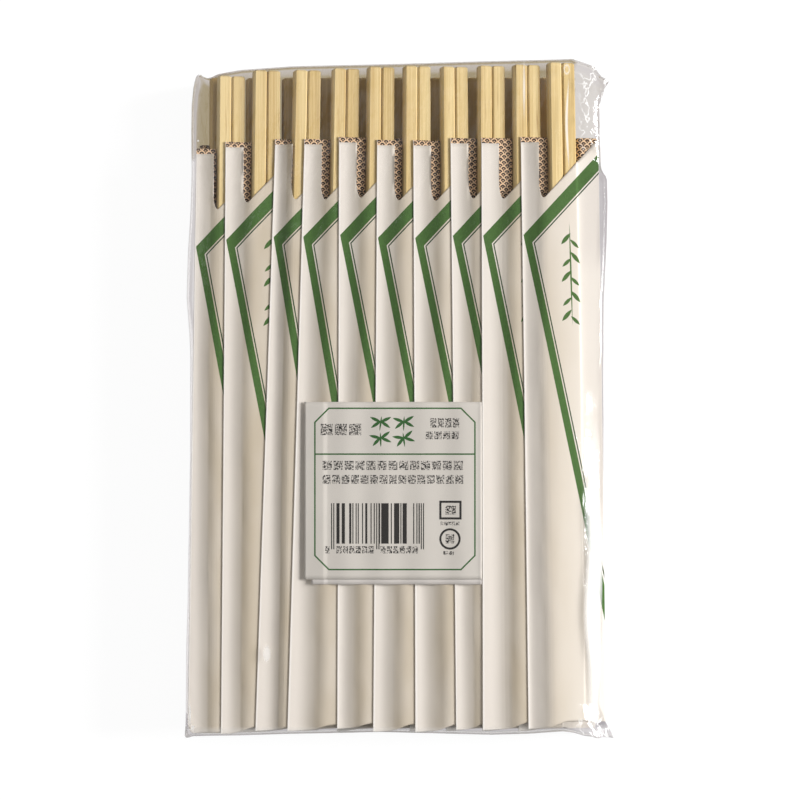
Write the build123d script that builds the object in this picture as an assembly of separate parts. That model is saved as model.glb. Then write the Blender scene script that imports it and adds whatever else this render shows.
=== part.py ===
from build123d import *
from math import asin, cos, degrees, sin
import os

# A sealed retail pack of bamboo chopsticks, lying flat with its label up.
# Three rows of ten pairs lie one on another, and each pair is in its own folded paper sleeve.
# The sleeves of a row are shingled: a sleeve's left flap lies on the pair to its left, and its
# right tail lies under the pair to its right, so every pair is rolled a little to the right.
# X runs across the pairs, Y runs along them to the bare heads, and Z is up to the label.
# All lengths are in millimetres.

# Chopsticks: a pair is one piece of bamboo, split from the head and still joined at the foot
stick_length = 210.0
stick_middle_width = 4.5
stick_tip_width = 4.1
stick_middle_thickness = 4.5
stick_tip_thickness = 4.0
stick_edge_bevel = 0.45
stick_tip_bevel = 0.4
split_gap = 0.25
joined_length = 14.0
joint_overlap = 0.2

# Paper sleeve: a flat tube, closed at the foot, with a tab, a notch and a slanted mouth in front
sleeve_length = 189.0
sleeve_span = 24.8
paper_wall = 0.15
panel_slit = 0.06
stick_clearance = 0.1
fold_bevel = 0.4
flap_slope_share = 2.0
flap_flat = 1.5
tail_slope_share = 0.35
foot_room = 2.2
back_rise = 1.75
tab_width = 5.7
notch_depth = 17.6
notch_radius = 1.2
seam_width = 5.5
seam_inset = 1.8

# Rows
pairs_in_row = 10
pair_pitch = 11.7
flap_reach = 12.5
slide = 3.0
lap_clearance = 0.12
row_clearance = 0.15

# Front row, as its pairs and sleeves really lie: the distances between neighbours, the flap
# widths and how far each piece has slid along the pack, as shares of the values above
front_head_pitch_shares = (0.97, 1.11, 1.055, 0.96, 0.985, 1.015, 1.015, 0.96, 0.945)
front_foot_pitch_shares = (0.905, 0.985, 1.095, 1.095, 1.095, 1.205, 0.905, 1.07, 1.07)
front_foot_shift_share = -0.123
front_head_flap_shares = (0.88, 1.01, 0.73, 0.98, 1.05, 0.99, 1.035, 1.045, 1.145, 1.045)
front_foot_flap_shares = (1.05, 0.97, 1.005, 1.205, 0.965, 1.07, 1.115, 0.94, 1.25, 1.085)
front_stick_slide_shares = (-1.0, -0.4, -0.37, -0.2, -0.03, 0.07, 0.0, 0.1, 0.2, 0.43)
front_sleeve_slide_shares = (-0.7, -0.32, 0.0, 0.0, 0.2, -0.1, -0.13, 0.1, 0.1, 0.2)

# Middle and back rows: evenly spaced, slid a little to the left and down
middle_shift_share = -0.26
middle_flap_share = 0.78
middle_stick_slide_share = -0.9
middle_sleeve_slide_share = -0.43
back_shift_share = -0.13
back_flap_share = 0.94
back_stick_slide_share = -0.5
back_sleeve_slide_share = -0.1

# Label: one card folded in two, lying on the front row with its fold beside a sleeve's edge
label_width = 56.6
label_height = 56.6
label_wall = 0.15
label_slit = 0.08
label_gap = 0.12
label_sag = 0.25
label_drop = 2.2
label_back_inset = 2.2
label_back_drop = 1.6
label_first_sleeve = 3
label_last_sleeve = 8

# Clear bag: film drawn tight round the rows, with a sealed fin and pointed ears at each end
film_wall = 0.2
film_gap = 0.35
side_gap = 0.5
head_gap = 1.0
foot_gap = 0.5
head_slant_share = 0.031
fin_width = 0.8
fin_half_thickness = 0.3
end_slope = 0.5
base_round = 2.5
side_low_share = 0.1
left_shoulder = 7.5
left_drop_share = 0.03
right_shoulder = 11.0
right_drop_foot_share = 0.2
right_drop_head_share = 0.14
ear_height_share = 0.8
ear_reach = 2.4
ear_length = 7.0
ear_reach_shares = {"foot_left": 0.35, "foot_right": 1.0, "head_left": 0.4, "head_right": 0.8}

# Overrun of every cut past the faces that it opens, and the twist that a flat face may have
overrun = 1.0
flat_limit = 0.00001

half_stick = stick_length / 2
sleeve_foot = -half_stick - foot_room
panel_half = paper_wall + panel_slit / 2


def along(y, foot, middle, head):
    """A size that runs straight from its foot value to the middle, and on to its head value."""
    if y < 0:
        return middle + (foot - middle) * (-y / half_stick)
    return middle + (head - middle) * (y / half_stick)


def pair_half_width(y):
    """Half the width of a pair, which tapers to both tips."""
    width = along(y, stick_tip_width, stick_middle_width, stick_tip_width)
    return width + split_gap / 2


def pair_half_height(y):
    """Half the thickness of a pair, which tapers to both tips."""
    return along(y, stick_tip_thickness, stick_middle_thickness, stick_tip_thickness) / 2


def bulge_half_width(y):
    """Half the outside width of a sleeve where it wraps its pair."""
    return pair_half_width(y) + stick_clearance + paper_wall


def bulge_half_height(y):
    """Half the outside height of a sleeve where it wraps its pair."""
    return pair_half_height(y) + stick_clearance + paper_wall


class Row:
    """One shingled row of sleeved pairs: where each pair lies, and how far each flap reaches."""

    def __init__(self, shift_share, foot_shift_share, head_pitches, foot_pitches,
                 head_flaps, foot_flaps, stick_slides, sleeve_slides):
        """Keep the row's shares, and add up the pitches from the first pair."""
        self.head_centres = [pair_pitch * shift_share]
        self.foot_centres = [pair_pitch * (shift_share + foot_shift_share)]
        for head_share, foot_share in zip(head_pitches, foot_pitches):
            self.head_centres.append(self.head_centres[-1] + pair_pitch * head_share)
            self.foot_centres.append(self.foot_centres[-1] + pair_pitch * foot_share)
        self.head_flaps = [flap_reach * share for share in head_flaps]
        self.foot_flaps = [flap_reach * share for share in foot_flaps]
        self.stick_slides = [slide * share for share in stick_slides]
        self.sleeve_slides = [slide * share for share in sleeve_slides]
        self.level = 0.0

    def centre(self, index, y):
        """Where the middle line of a pair is at a place along the pack."""
        foot = self.foot_centres[index]
        head = self.head_centres[index]
        return along(y, foot, (foot + head) / 2, head)

    def pitch(self, index, y):
        """The distance from a pair to its left neighbour."""
        return self.centre(index, y) - self.centre(index - 1, y)

    def flap(self, index, y):
        """How far a sleeve reaches to the left of its pair's middle line, seen from the front."""
        foot = self.foot_flaps[index]
        head = self.head_flaps[index]
        return along(y, foot, (foot + head) / 2, head)

    def left_edge(self, index, y):
        """Where a sleeve's left fold is, seen from the front."""
        return self.centre(index, y) - self.flap(index, y)


def even_row(shift_share, flap_share, stick_slide_share, sleeve_slide_share):
    """A row whose pairs lie evenly, for the two rows that the front row hides."""
    pitches = [1.0] * (pairs_in_row - 1)
    flaps = [flap_share] * pairs_in_row
    stick_slides = [stick_slide_share] * pairs_in_row
    sleeve_slides = [sleeve_slide_share] * pairs_in_row
    return Row(shift_share, 0.0, pitches, pitches, flaps, flaps, stick_slides, sleeve_slides)


front_row = Row(0.0, front_foot_shift_share, front_head_pitch_shares, front_foot_pitch_shares,
                front_head_flap_shares, front_foot_flap_shares,
                front_stick_slide_shares, front_sleeve_slide_shares)
middle_row = even_row(middle_shift_share, middle_flap_share,
                      middle_stick_slide_share, middle_sleeve_slide_share)
back_row = even_row(back_shift_share, back_flap_share,
                    back_stick_slide_share, back_sleeve_slide_share)
rows = {"back": back_row, "middle": middle_row, "front": front_row}


def lap_height(y):
    """How far a flap's middle lies above the middle of the pair that it rests on."""
    return bulge_half_height(y) + lap_clearance + panel_half


# The roll that lets every flap lie flat on the pair beside it, from the tightest place
stations = (-half_stick, 0.0, half_stick)
roll = asin(max(lap_height(y) / row.pitch(index, y)
                for row in rows.values()
                for index in range(1, pairs_in_row)
                for y in stations))


def place(row, index, u, w, y):
    """A point given across (u) and up through (w) a rolled pair, in the pack's own frame."""
    return Vector(row.centre(index, y) + u * cos(roll) + w * sin(roll), y,
                  row.level - u * sin(roll) + w * cos(roll))


def flap_level(row, index, y):
    """The height of a sleeve's left flap through its rolled pair.

    It lies on the left neighbour's top. The first sleeve has none, so its flap stays level
    with the middle of its own pair.
    """
    if index == 0:
        return 0.0
    return lap_height(y) - row.pitch(index, y) * sin(roll)


def tail_level(row, index, y):
    """The height of a sleeve's right tail through its rolled pair: under the right neighbour."""
    if index == pairs_in_row - 1:
        return bulge_half_height(y) - 2 * fold_bevel - panel_half
    return row.pitch(index + 1, y) * sin(roll) - lap_height(y)


def flap_slope(row, index):
    """How far the front panel runs sideways for each step that it climbs from flap to crest."""
    slopes = [flap_slope_share]
    for y in stations:
        rise = bulge_half_height(y) - flap_level(row, index, y) - panel_half
        run = row.flap(index, y) / cos(roll) - bulge_half_width(y) - flap_flat
        slopes.append(run / rise)
    return min(slopes)


def sleeve_outline(row, index, y):
    """The outside of a sleeve's section, as points across and up through its rolled pair."""
    half_width = bulge_half_width(y)
    half_height = bulge_half_height(y)
    flap_end = row.flap(index, y) / cos(roll)
    tail_end = (sleeve_span - row.flap(index, y)) / cos(roll)
    flap = flap_level(row, index, y)
    tail = tail_level(row, index, y)
    flap_tent = flap_slope(row, index) * (half_height - flap - panel_half)
    tail_tent = tail_slope_share * (half_height + tail - panel_half)
    return [
        (-flap_end, flap + panel_half),
        (-half_width - flap_tent, flap + panel_half),
        (-half_width, half_height),
        (half_width - fold_bevel, half_height),
        (half_width, half_height - fold_bevel),
        (half_width, tail + panel_half),
        (tail_end, tail + panel_half),
        (tail_end, tail - panel_half),
        (half_width + tail_tent, tail - panel_half),
        (half_width, -half_height),
        (fold_bevel - half_width, -half_height),
        (-half_width, fold_bevel - half_height),
        (-half_width, flap - panel_half),
        (-flap_end, flap - panel_half),
    ]


def with_seam(outline):
    """The outline with the glued lap of the sheet standing one paper wall under its tail."""
    tail_end, tail_bottom = outline[7]
    seam_outer = tail_end - seam_inset
    seam_inner = max(seam_outer - seam_width, outline[8][0] + fold_bevel)
    seam = [
        (seam_outer, tail_bottom),
        (seam_outer, tail_bottom - paper_wall),
        (seam_inner, tail_bottom - paper_wall),
        (seam_inner, tail_bottom),
    ]
    return outline[:8] + seam + outline[8:]


def inset(outline, wall):
    """A closed clockwise outline with every side moved inwards by the wall."""
    moved = []
    for index, corner in enumerate(outline):
        before = Vector(*outline[index - 1])
        here = Vector(*corner)
        after = Vector(*outline[(index + 1) % len(outline)])
        arriving = (here - before).normalized()
        leaving = (after - here).normalized()
        inward = Vector(arriving.Y, -arriving.X) + Vector(leaving.Y, -leaving.X)
        inward = inward / (1 + arriving.dot(leaving))
        moved.append(((here + inward * wall).X, (here + inward * wall).Y))
    return moved


def side_faces(lower, upper):
    """Flat faces from one loop to the next: one a side, or two where its corners are twisted."""
    faces = []
    for index in range(len(lower)):
        beside = (index + 1) % len(lower)
        quad = [lower[index], lower[beside], upper[beside], upper[index]]
        normal = (quad[2] - quad[0]).cross(quad[3] - quad[1]).normalized()
        parts = [quad]
        if abs(normal.dot(quad[1] - quad[0])) > flat_limit:
            parts = [quad[:3], [quad[2], quad[3], quad[0]]]
        faces += [Face(Wire.make_polygon(part, close=True)) for part in parts]
    return faces


def faceted_solid(loops):
    """A solid with flat sides through closed loops of points, one loop after another."""
    faces = [Face(Wire.make_polygon(loop, close=True)) for loop in (loops[0], loops[-1])]
    for lower, upper in zip(loops, loops[1:]):
        faces += side_faces(lower, upper)
    return Solid(Shell(faces))


def stick(row, index, side):
    """One chopstick of a pair, tapered to both tips, with bevelled edges and tips."""
    start = row.stick_slides[index] - half_stick
    end = row.stick_slides[index] + half_stick
    middle = row.stick_slides[index]
    loops = []
    for y, inset_by in ((start, stick_tip_bevel), (start + stick_tip_bevel, 0.0), (middle, 0.0),
                        (end - stick_tip_bevel, 0.0), (end, stick_tip_bevel)):
        taper = y - middle
        near = split_gap / 2 + inset_by
        far = pair_half_width(taper) - inset_by
        high = pair_half_height(taper) - inset_by
        bevel = stick_edge_bevel
        corners = [(near, bevel - high), (near, high - bevel), (near + bevel, high),
                   (far - bevel, high), (far, high - bevel), (far, bevel - high),
                   (far - bevel, -high), (near + bevel, -high)]
        loops.append([place(row, index, side * u, w, y) for u, w in corners])
    return faceted_solid(loops)


def chopstick_pair(row, index):
    """Both chopsticks of a pair and the uncut bamboo that still joins them at the foot."""
    start = row.stick_slides[index] - half_stick + stick_tip_bevel
    half = split_gap / 2 + joint_overlap
    loops = []
    for y in (start, start + joined_length):
        high = pair_half_height(y - row.stick_slides[index]) - stick_edge_bevel
        corners = [(-half, -high), (-half, high), (half, high), (half, -high)]
        loops.append([place(row, index, u, w, y) for u, w in corners])
    return stick(row, index, -1) + stick(row, index, 1) + faceted_solid(loops)


def mouth_cut(row, index, foot, tab_top, top):
    """What is cut from the front panel: above the tab, the notch, and above the slanted edge."""
    corner_y = tab_top - notch_depth - notch_radius * (2 ** 0.5)
    low = corner_y - overrun
    high = top + overrun
    loops = []
    for y in (low, high):
        flap = flap_level(row, index, y)
        tail = tail_level(row, index, y)
        left = -row.flap(index, y) / cos(roll) - overrun
        right = (sleeve_span - row.flap(index, y)) / cos(roll) + overrun
        ceiling = bulge_half_height(y) + overrun
        section = [(left, flap), (0, flap), (0, tail), (right, tail),
                   (right, ceiling), (left, ceiling)]
        loops.append([place(row, index, u, w, y) for u, w in section])
    front_half = faceted_solid(loops)
    left = row.left_edge(index, tab_top)
    tab_right = row.left_edge(index, corner_y) + tab_width
    right = left + sleeve_span + overrun
    depth = sleeve_span
    floor = row.level - depth
    corners = [
        (left - overrun, tab_top, floor),
        (left + tab_width, tab_top, floor),
        (tab_right, corner_y, floor),
        (right, corner_y + right - tab_right, floor),
        (right, high, floor),
        (left - overrun, high, floor),
    ]
    outline = make_face(Polyline(*corners, close=True))
    notch = outline.vertices().sort_by_distance((tab_right, corner_y, floor))[0]
    outline = fillet(notch, radius=notch_radius)
    return front_half & extrude(outline, amount=2 * depth, dir=(0, 0, 1))


def paper_sleeve(row, index):
    """A folded sleeve round its pair: outer tube, the room inside, the seam and the mouth."""
    foot = sleeve_foot + row.sleeve_slides[index]
    tab_top = foot + sleeve_length - back_rise
    top = foot + sleeve_length
    outer = []
    for y in (foot, 0.0, top):
        outline = with_seam(sleeve_outline(row, index, y))
        outer.append([place(row, index, u, w, y) for u, w in outline])
    room = []
    for y in (foot + paper_wall, 0.0, top + overrun):
        outline = inset(sleeve_outline(row, index, y), paper_wall)
        room.append([place(row, index, u, w, y) for u, w in outline])
    tube = faceted_solid(outer) - faceted_solid(room)
    return tube - mouth_cut(row, index, foot, tab_top, top)


def row_points(row, y):
    """Every corner of the row's sleeve sections at a place along the pack."""
    return [place(row, index, u, w, y)
            for index in range(pairs_in_row)
            for u, w in with_seam(sleeve_outline(row, index, y))]


def row_reach(row):
    """The lowest and highest point of a row, with its own level taken off."""
    heights = [point.Z - row.level for y in stations for point in row_points(row, y)]
    return min(heights), max(heights)


# Stack the rows from the bottom of the bag up
floor_level = film_wall + film_gap
for row in (back_row, middle_row, front_row):
    lowest, highest = row_reach(row)
    row.level = floor_level - lowest
    floor_level = row.level + highest + row_clearance


def label_leaf(left, right, low, high, rest, shape):
    """One leaf of the label card: a wall thick sheet that sags between the crests under it."""
    xs = [x for x in shape if left < x[0] < right]
    line = [(left, shape[0][1])] + xs + [(right, shape[-1][1])]
    under = [Vector(x, low, rest + z) for x, z in line]
    over = [Vector(x, low, rest + z + label_wall) for x, z in reversed(line)]
    sheet = make_face(Polyline(*(under + over), close=True))
    return extrude(sheet, amount=high - low, dir=(0, 1, 0))


def label_card():
    """The folded label: the back leaf, the front leaf over it and the fold that joins them."""
    top = -label_drop
    bottom = top - label_height
    middle = (top + bottom) / 2
    right = front_row.left_edge(label_last_sleeve, middle) - label_gap
    right = min(right, front_row.left_edge(label_last_sleeve, bottom) - label_gap)
    right = min(right, front_row.left_edge(label_last_sleeve, top) - label_gap)
    left = right - label_width
    covered = range(label_first_sleeve, label_last_sleeve)
    crests = []
    heights = []
    for index in covered:
        for y in (bottom - label_back_drop, middle, top):
            outline = sleeve_outline(front_row, index, y)
            heights += [place(front_row, index, u, w, y).Z for u, w in outline]
        u, w = sleeve_outline(front_row, index, middle)[2]
        crests.append(place(front_row, index, u, w, middle).X)
    shape = [(left, -label_sag)]
    for index, crest in enumerate(crests):
        if index:
            shape.append(((crests[index - 1] + crest) / 2, -label_sag))
        shape.append((crest, 0.0))
    shape.append((right, -label_sag))
    rest = max(heights) + label_gap
    upper = rest + label_wall + label_slit
    back = label_leaf(left + label_back_inset, right, bottom - label_back_drop,
                      top - label_back_drop, rest, shape)
    front = label_leaf(left, right, bottom, top, upper, shape)
    fold = [
        (right - label_wall, bottom, rest - label_sag),
        (right - label_wall, bottom, upper - label_sag + label_wall),
        (right, bottom, upper - label_sag + label_wall),
        (right, bottom, rest - label_sag),
    ]
    edge = make_face(Polyline(*fold, close=True))
    fold_length = label_height - label_back_drop
    return back + front + extrude(edge, amount=fold_length, dir=(0, 1, 0)), upper + label_wall


def bag_section(left, right, ends, outward, low, high, right_drop_share):
    """A closed section of the bag: flat under, with a slope down to each side from the top.

    It stands a step outwards from the line between its two ends along the pack.
    """
    height = high - low
    base = low + height * side_low_share
    corners = [
        (left, base), (left, high - height * left_drop_share),
        (left + left_shoulder, high), (right - right_shoulder, high),
        (right, high - height * right_drop_share), (right, base),
        (right - base_round, low), (left + base_round, low),
    ]
    slope = (ends[1] - ends[0]) / (right - left)
    return [Vector(x, ends[0] + outward + (x - left) * slope, z) for x, z in corners]


def clear_bag(contents_top):
    """The film bag: a thin closed skin round the rows, pinched to a fin at head and foot."""
    height = contents_top + film_gap + film_wall
    edges = {}
    for end, y in (("foot", -half_stick), ("head", half_stick)):
        points = [point.X for row in rows.values() for point in row_points(row, y)]
        edges[end] = (min(points) - side_gap, max(points) + side_gap)
    foot_left, foot_right = edges["foot"]
    head_left, head_right = edges["head"]
    lean = (head_right - head_left) * head_slant_share / 2
    highest = half_stick + slide * max(front_stick_slide_shares) + head_gap
    lowest = sleeve_foot + slide * min(front_sleeve_slide_shares) - foot_gap
    head_y = (highest - 2 * lean, highest)
    foot_y = (lowest, lowest)
    middle = height / 2

    def foot_section(inset_by, outward, low, high):
        """A section at the foot, a number of millimetres inside the sides."""
        return bag_section(foot_left + inset_by, foot_right - inset_by, foot_y, -outward,
                           low, high, right_drop_foot_share)

    def head_section(inset_by, outward, low, high):
        """A section at the head, a number of millimetres inside the sides."""
        return bag_section(head_left + inset_by, head_right - inset_by, head_y, outward,
                           low, high, right_drop_head_share)

    fin_low = middle - fin_half_thickness
    fin_high = middle + fin_half_thickness
    outer = faceted_solid([
        foot_section(0, end_slope + fin_width, fin_low, fin_high),
        foot_section(0, end_slope, fin_low, fin_high),
        foot_section(0, 0, 0, height),
        head_section(0, 0, 0, height),
        head_section(0, end_slope, fin_low, fin_high),
        head_section(0, end_slope + fin_width, fin_low, fin_high),
    ])
    wall = film_wall
    inner = faceted_solid([
        foot_section(wall, end_slope - wall, fin_low + wall, fin_high - wall),
        foot_section(wall, 0, wall, height - wall),
        head_section(wall, 0, wall, height - wall),
        head_section(wall, end_slope - wall, fin_low + wall, fin_high - wall),
    ])
    bag = outer - inner
    corners = {
        "foot_left": (foot_left, foot_y[0] - end_slope - fin_width, -1, 1),
        "foot_right": (foot_right, foot_y[1] - end_slope - fin_width, 1, 1),
        "head_left": (head_left, head_y[0] + end_slope + fin_width, -1, -1),
        "head_right": (head_right, head_y[1] + end_slope + fin_width, 1, -1),
    }
    for name, (x, y, outward, inward) in corners.items():
        reach = ear_reach * ear_reach_shares[name]
        low = middle - fin_half_thickness * ear_height_share
        tip = Vector(x + outward * reach, y, low)
        triangle = [
            Vector(x - outward * reach, y, low),
            tip,
            Vector(x, y + inward * ear_length * ear_reach_shares[name], low),
            Vector(x - outward * reach, y + inward * fin_width, low),
        ]
        ear = make_face(Polyline(*triangle, close=True))
        bag += extrude(ear, amount=2 * fin_half_thickness * ear_height_share, dir=(0, 0, 1))
    return bag


label, label_top = label_card()
pieces = {"label_card": label, "clear_bag": clear_bag(label_top)}
for name, row in rows.items():
    for index in range(pairs_in_row):
        pieces[f"{name}_sleeve_{index + 1:02d}"] = paper_sleeve(row, index)
for name in ("back", "front"):
    for index in range(pairs_in_row):
        pieces[f"{name}_pair_{index + 1:02d}"] = chopstick_pair(rows[name], index)
pieces["middle_pairs"] = Compound([chopstick_pair(middle_row, index).solid()
                                   for index in range(pairs_in_row)])

# The origin is at the middle of the pack's underside
box = pieces["clear_bag"].bounding_box()
to_origin = Pos(-box.center().X, -box.center().Y, -box.min.Z)

os.makedirs("parts", exist_ok=True)
for name, piece in pieces.items():
    export_step(to_origin * piece, f"parts/{name}.step")
print(f"roll {degrees(roll):.2f} degrees, pack {box.size.X:.1f} by {box.size.Y:.1f} "
      f"by {box.size.Z:.1f}")
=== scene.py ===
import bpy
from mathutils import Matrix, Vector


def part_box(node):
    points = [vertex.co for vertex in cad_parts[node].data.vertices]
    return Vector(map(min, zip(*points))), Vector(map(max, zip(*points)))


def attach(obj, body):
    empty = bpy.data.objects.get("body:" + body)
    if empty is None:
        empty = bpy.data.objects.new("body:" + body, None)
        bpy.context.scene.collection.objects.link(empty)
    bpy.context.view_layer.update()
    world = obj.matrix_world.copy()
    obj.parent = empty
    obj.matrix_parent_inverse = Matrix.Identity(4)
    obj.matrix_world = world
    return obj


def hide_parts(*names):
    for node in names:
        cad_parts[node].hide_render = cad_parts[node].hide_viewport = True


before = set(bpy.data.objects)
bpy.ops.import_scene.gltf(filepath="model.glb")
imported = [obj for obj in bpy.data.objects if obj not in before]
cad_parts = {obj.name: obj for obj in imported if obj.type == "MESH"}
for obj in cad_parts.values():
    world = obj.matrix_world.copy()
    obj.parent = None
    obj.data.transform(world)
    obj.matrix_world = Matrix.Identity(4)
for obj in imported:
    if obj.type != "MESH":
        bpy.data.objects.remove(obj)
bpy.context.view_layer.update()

# The looks of a sealed pack of bamboo chopsticks, lying flat with its label up.
# Sizes are millimetres in the maker's frame: x = 0 is the middle of the first front pair at its
# head, y = 0 is the middle of the chopsticks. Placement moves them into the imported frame.

import logging
import math
from dataclasses import dataclass, field
from enum import Enum
from typing import Optional, Sequence, Union

import bpy
import numpy as np

log = logging.getLogger("chopstick_pack")

MILLIMETRE = 0.001
PER_MILLIMETRE = (1000.0, 1000.0, 0.0)
HALF_STICK = 105.0
PAIRS = 10
VIEW_MIDDLE = (54.17, -1.6)

Socket = bpy.types.NodeSocket
Value = Union[float, tuple, Socket]


def smooth_step(value: np.ndarray) -> np.ndarray:
    """Rises from 0 to 1 as three squares less two cubes, and stays level outside."""
    held = np.clip(value, 0.0, 1.0)
    return held * held * (3.0 - 2.0 * held)


def eased(value: np.ndarray, start: float, width: float) -> np.ndarray:
    """0 at a start and 1 a width further on, as a smooth step. A width under 0 turns it round."""
    return smooth_step((value - start) / width)


def patch(x: np.ndarray, y: np.ndarray, across: tuple, up: tuple) -> np.ndarray:
    """1 where x and y are both past their starts, each given with its soft width."""
    return eased(x, *across) * eased(y, *up)


def rounding(past: np.ndarray) -> np.ndarray:
    """Rises from 0 to 1 as a quarter of a circle, and stays level outside."""
    held = np.clip(past, 0.0, 1.0)
    return np.sqrt(1.0 - (1.0 - held) ** 2)


def near(value: np.ndarray, middle: float, reach: float) -> np.ndarray:
    """1 at a middle, falling straight to 0 at a reach from it."""
    return np.clip(1.0 - np.abs(value - middle) / reach, 0.0, 1.0)


def dimmed(colour: tuple, share: float) -> tuple:
    """A colour with each of its parts times a share."""
    return tuple(share * part for part in colour)


def taper(y: np.ndarray, tip: float, middle: float) -> np.ndarray:
    """A size that is full at y = 0 and falls straight to its tip value at both tips."""
    return middle + (tip - middle) * np.abs(y) / HALF_STICK


def along(y: np.ndarray, foot: float, head: float) -> np.ndarray:
    """A value that runs straight from the foot of the chopsticks to their heads."""
    return foot + (head - foot) * (np.asarray(y) + HALF_STICK) / (2.0 * HALF_STICK)


def node_middle(node: str) -> np.ndarray:
    """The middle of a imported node's box, in millimetres."""
    low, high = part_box(node)
    return (np.array(low) + np.array(high)) / 2.0 / MILLIMETRE


def grid_quads(rows: int, columns: int, around: bool) -> np.ndarray:
    """Corner numbers of the quads of a grid of points.

    Args:
        rows: number of rows of points.
        columns: number of points in a row.
        around: True if each row is a closed ring.

    Returns:
        An array with four point numbers in each line.
    """
    last = columns if around else columns - 1
    row = np.arange(rows - 1)[:, None] * columns
    column = np.arange(last)[None, :]
    beside = (column + 1) % columns
    quads = np.stack([row + column, row + beside, row + columns + beside,
                      row + columns + column], axis=-1)
    return quads.reshape(-1, 4)


def make_piece(name: str, points: np.ndarray, quads: np.ndarray, finishes: Sequence,
               uv: Optional[np.ndarray] = None,
               marks: Optional[dict[str, np.ndarray]] = None) -> bpy.types.Object:
    """Puts a worked-out surface into a smooth mesh that rides on the pack.

    Args:
        name: the piece's name.
        points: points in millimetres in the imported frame.
        quads: corner numbers of each face.
        finishes: materials, in slot order.
        uv: flat pattern coordinates for each point.
        marks: named numbers for each point.

    Returns:
        The new object.
    """
    mesh = bpy.data.meshes.new(name)
    flat_points = (points.reshape(-1, 3) * MILLIMETRE).astype(np.float32)
    mesh.from_pydata(flat_points, [], quads)
    mesh.polygons.foreach_set("use_smooth", np.full(len(mesh.polygons), True))
    for finish in finishes:
        mesh.materials.append(finish)
    if uv is not None:
        corners = np.zeros(len(mesh.loops), dtype=np.int32)
        mesh.loops.foreach_get("vertex_index", corners)
        layer = mesh.uv_layers.new(name="sheet")
        layer.data.foreach_set("uv", uv.reshape(-1, 2)[corners].astype(np.float32).ravel())
    for mark, numbers in (marks or {}).items():
        attribute = mesh.attributes.new(mark, "FLOAT", "POINT")
        attribute.data.foreach_set("value", numbers.astype(np.float32).ravel())
    mesh.update()
    piece = bpy.data.objects.new(name, mesh)
    bpy.context.scene.collection.objects.link(piece)
    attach(piece, "root")
    return piece


def give_wall(piece: bpy.types.Object, wall: float, rim: int = 0, inside: int = 0) -> None:
    """Gives a sheet its thickness, inwards from the surface that was worked out.

    Args:
        piece: the sheet.
        wall: thickness in millimetres.
        rim: how many slots further on the edge's finish is.
        inside: how many slots further on the inner side's finish is.
    """
    solidify = piece.modifiers.new("wall", "SOLIDIFY")
    solidify.thickness = wall * MILLIMETRE
    solidify.offset = -1.0
    solidify.use_even_offset = False
    solidify.material_offset = inside
    solidify.material_offset_rim = rim


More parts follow.
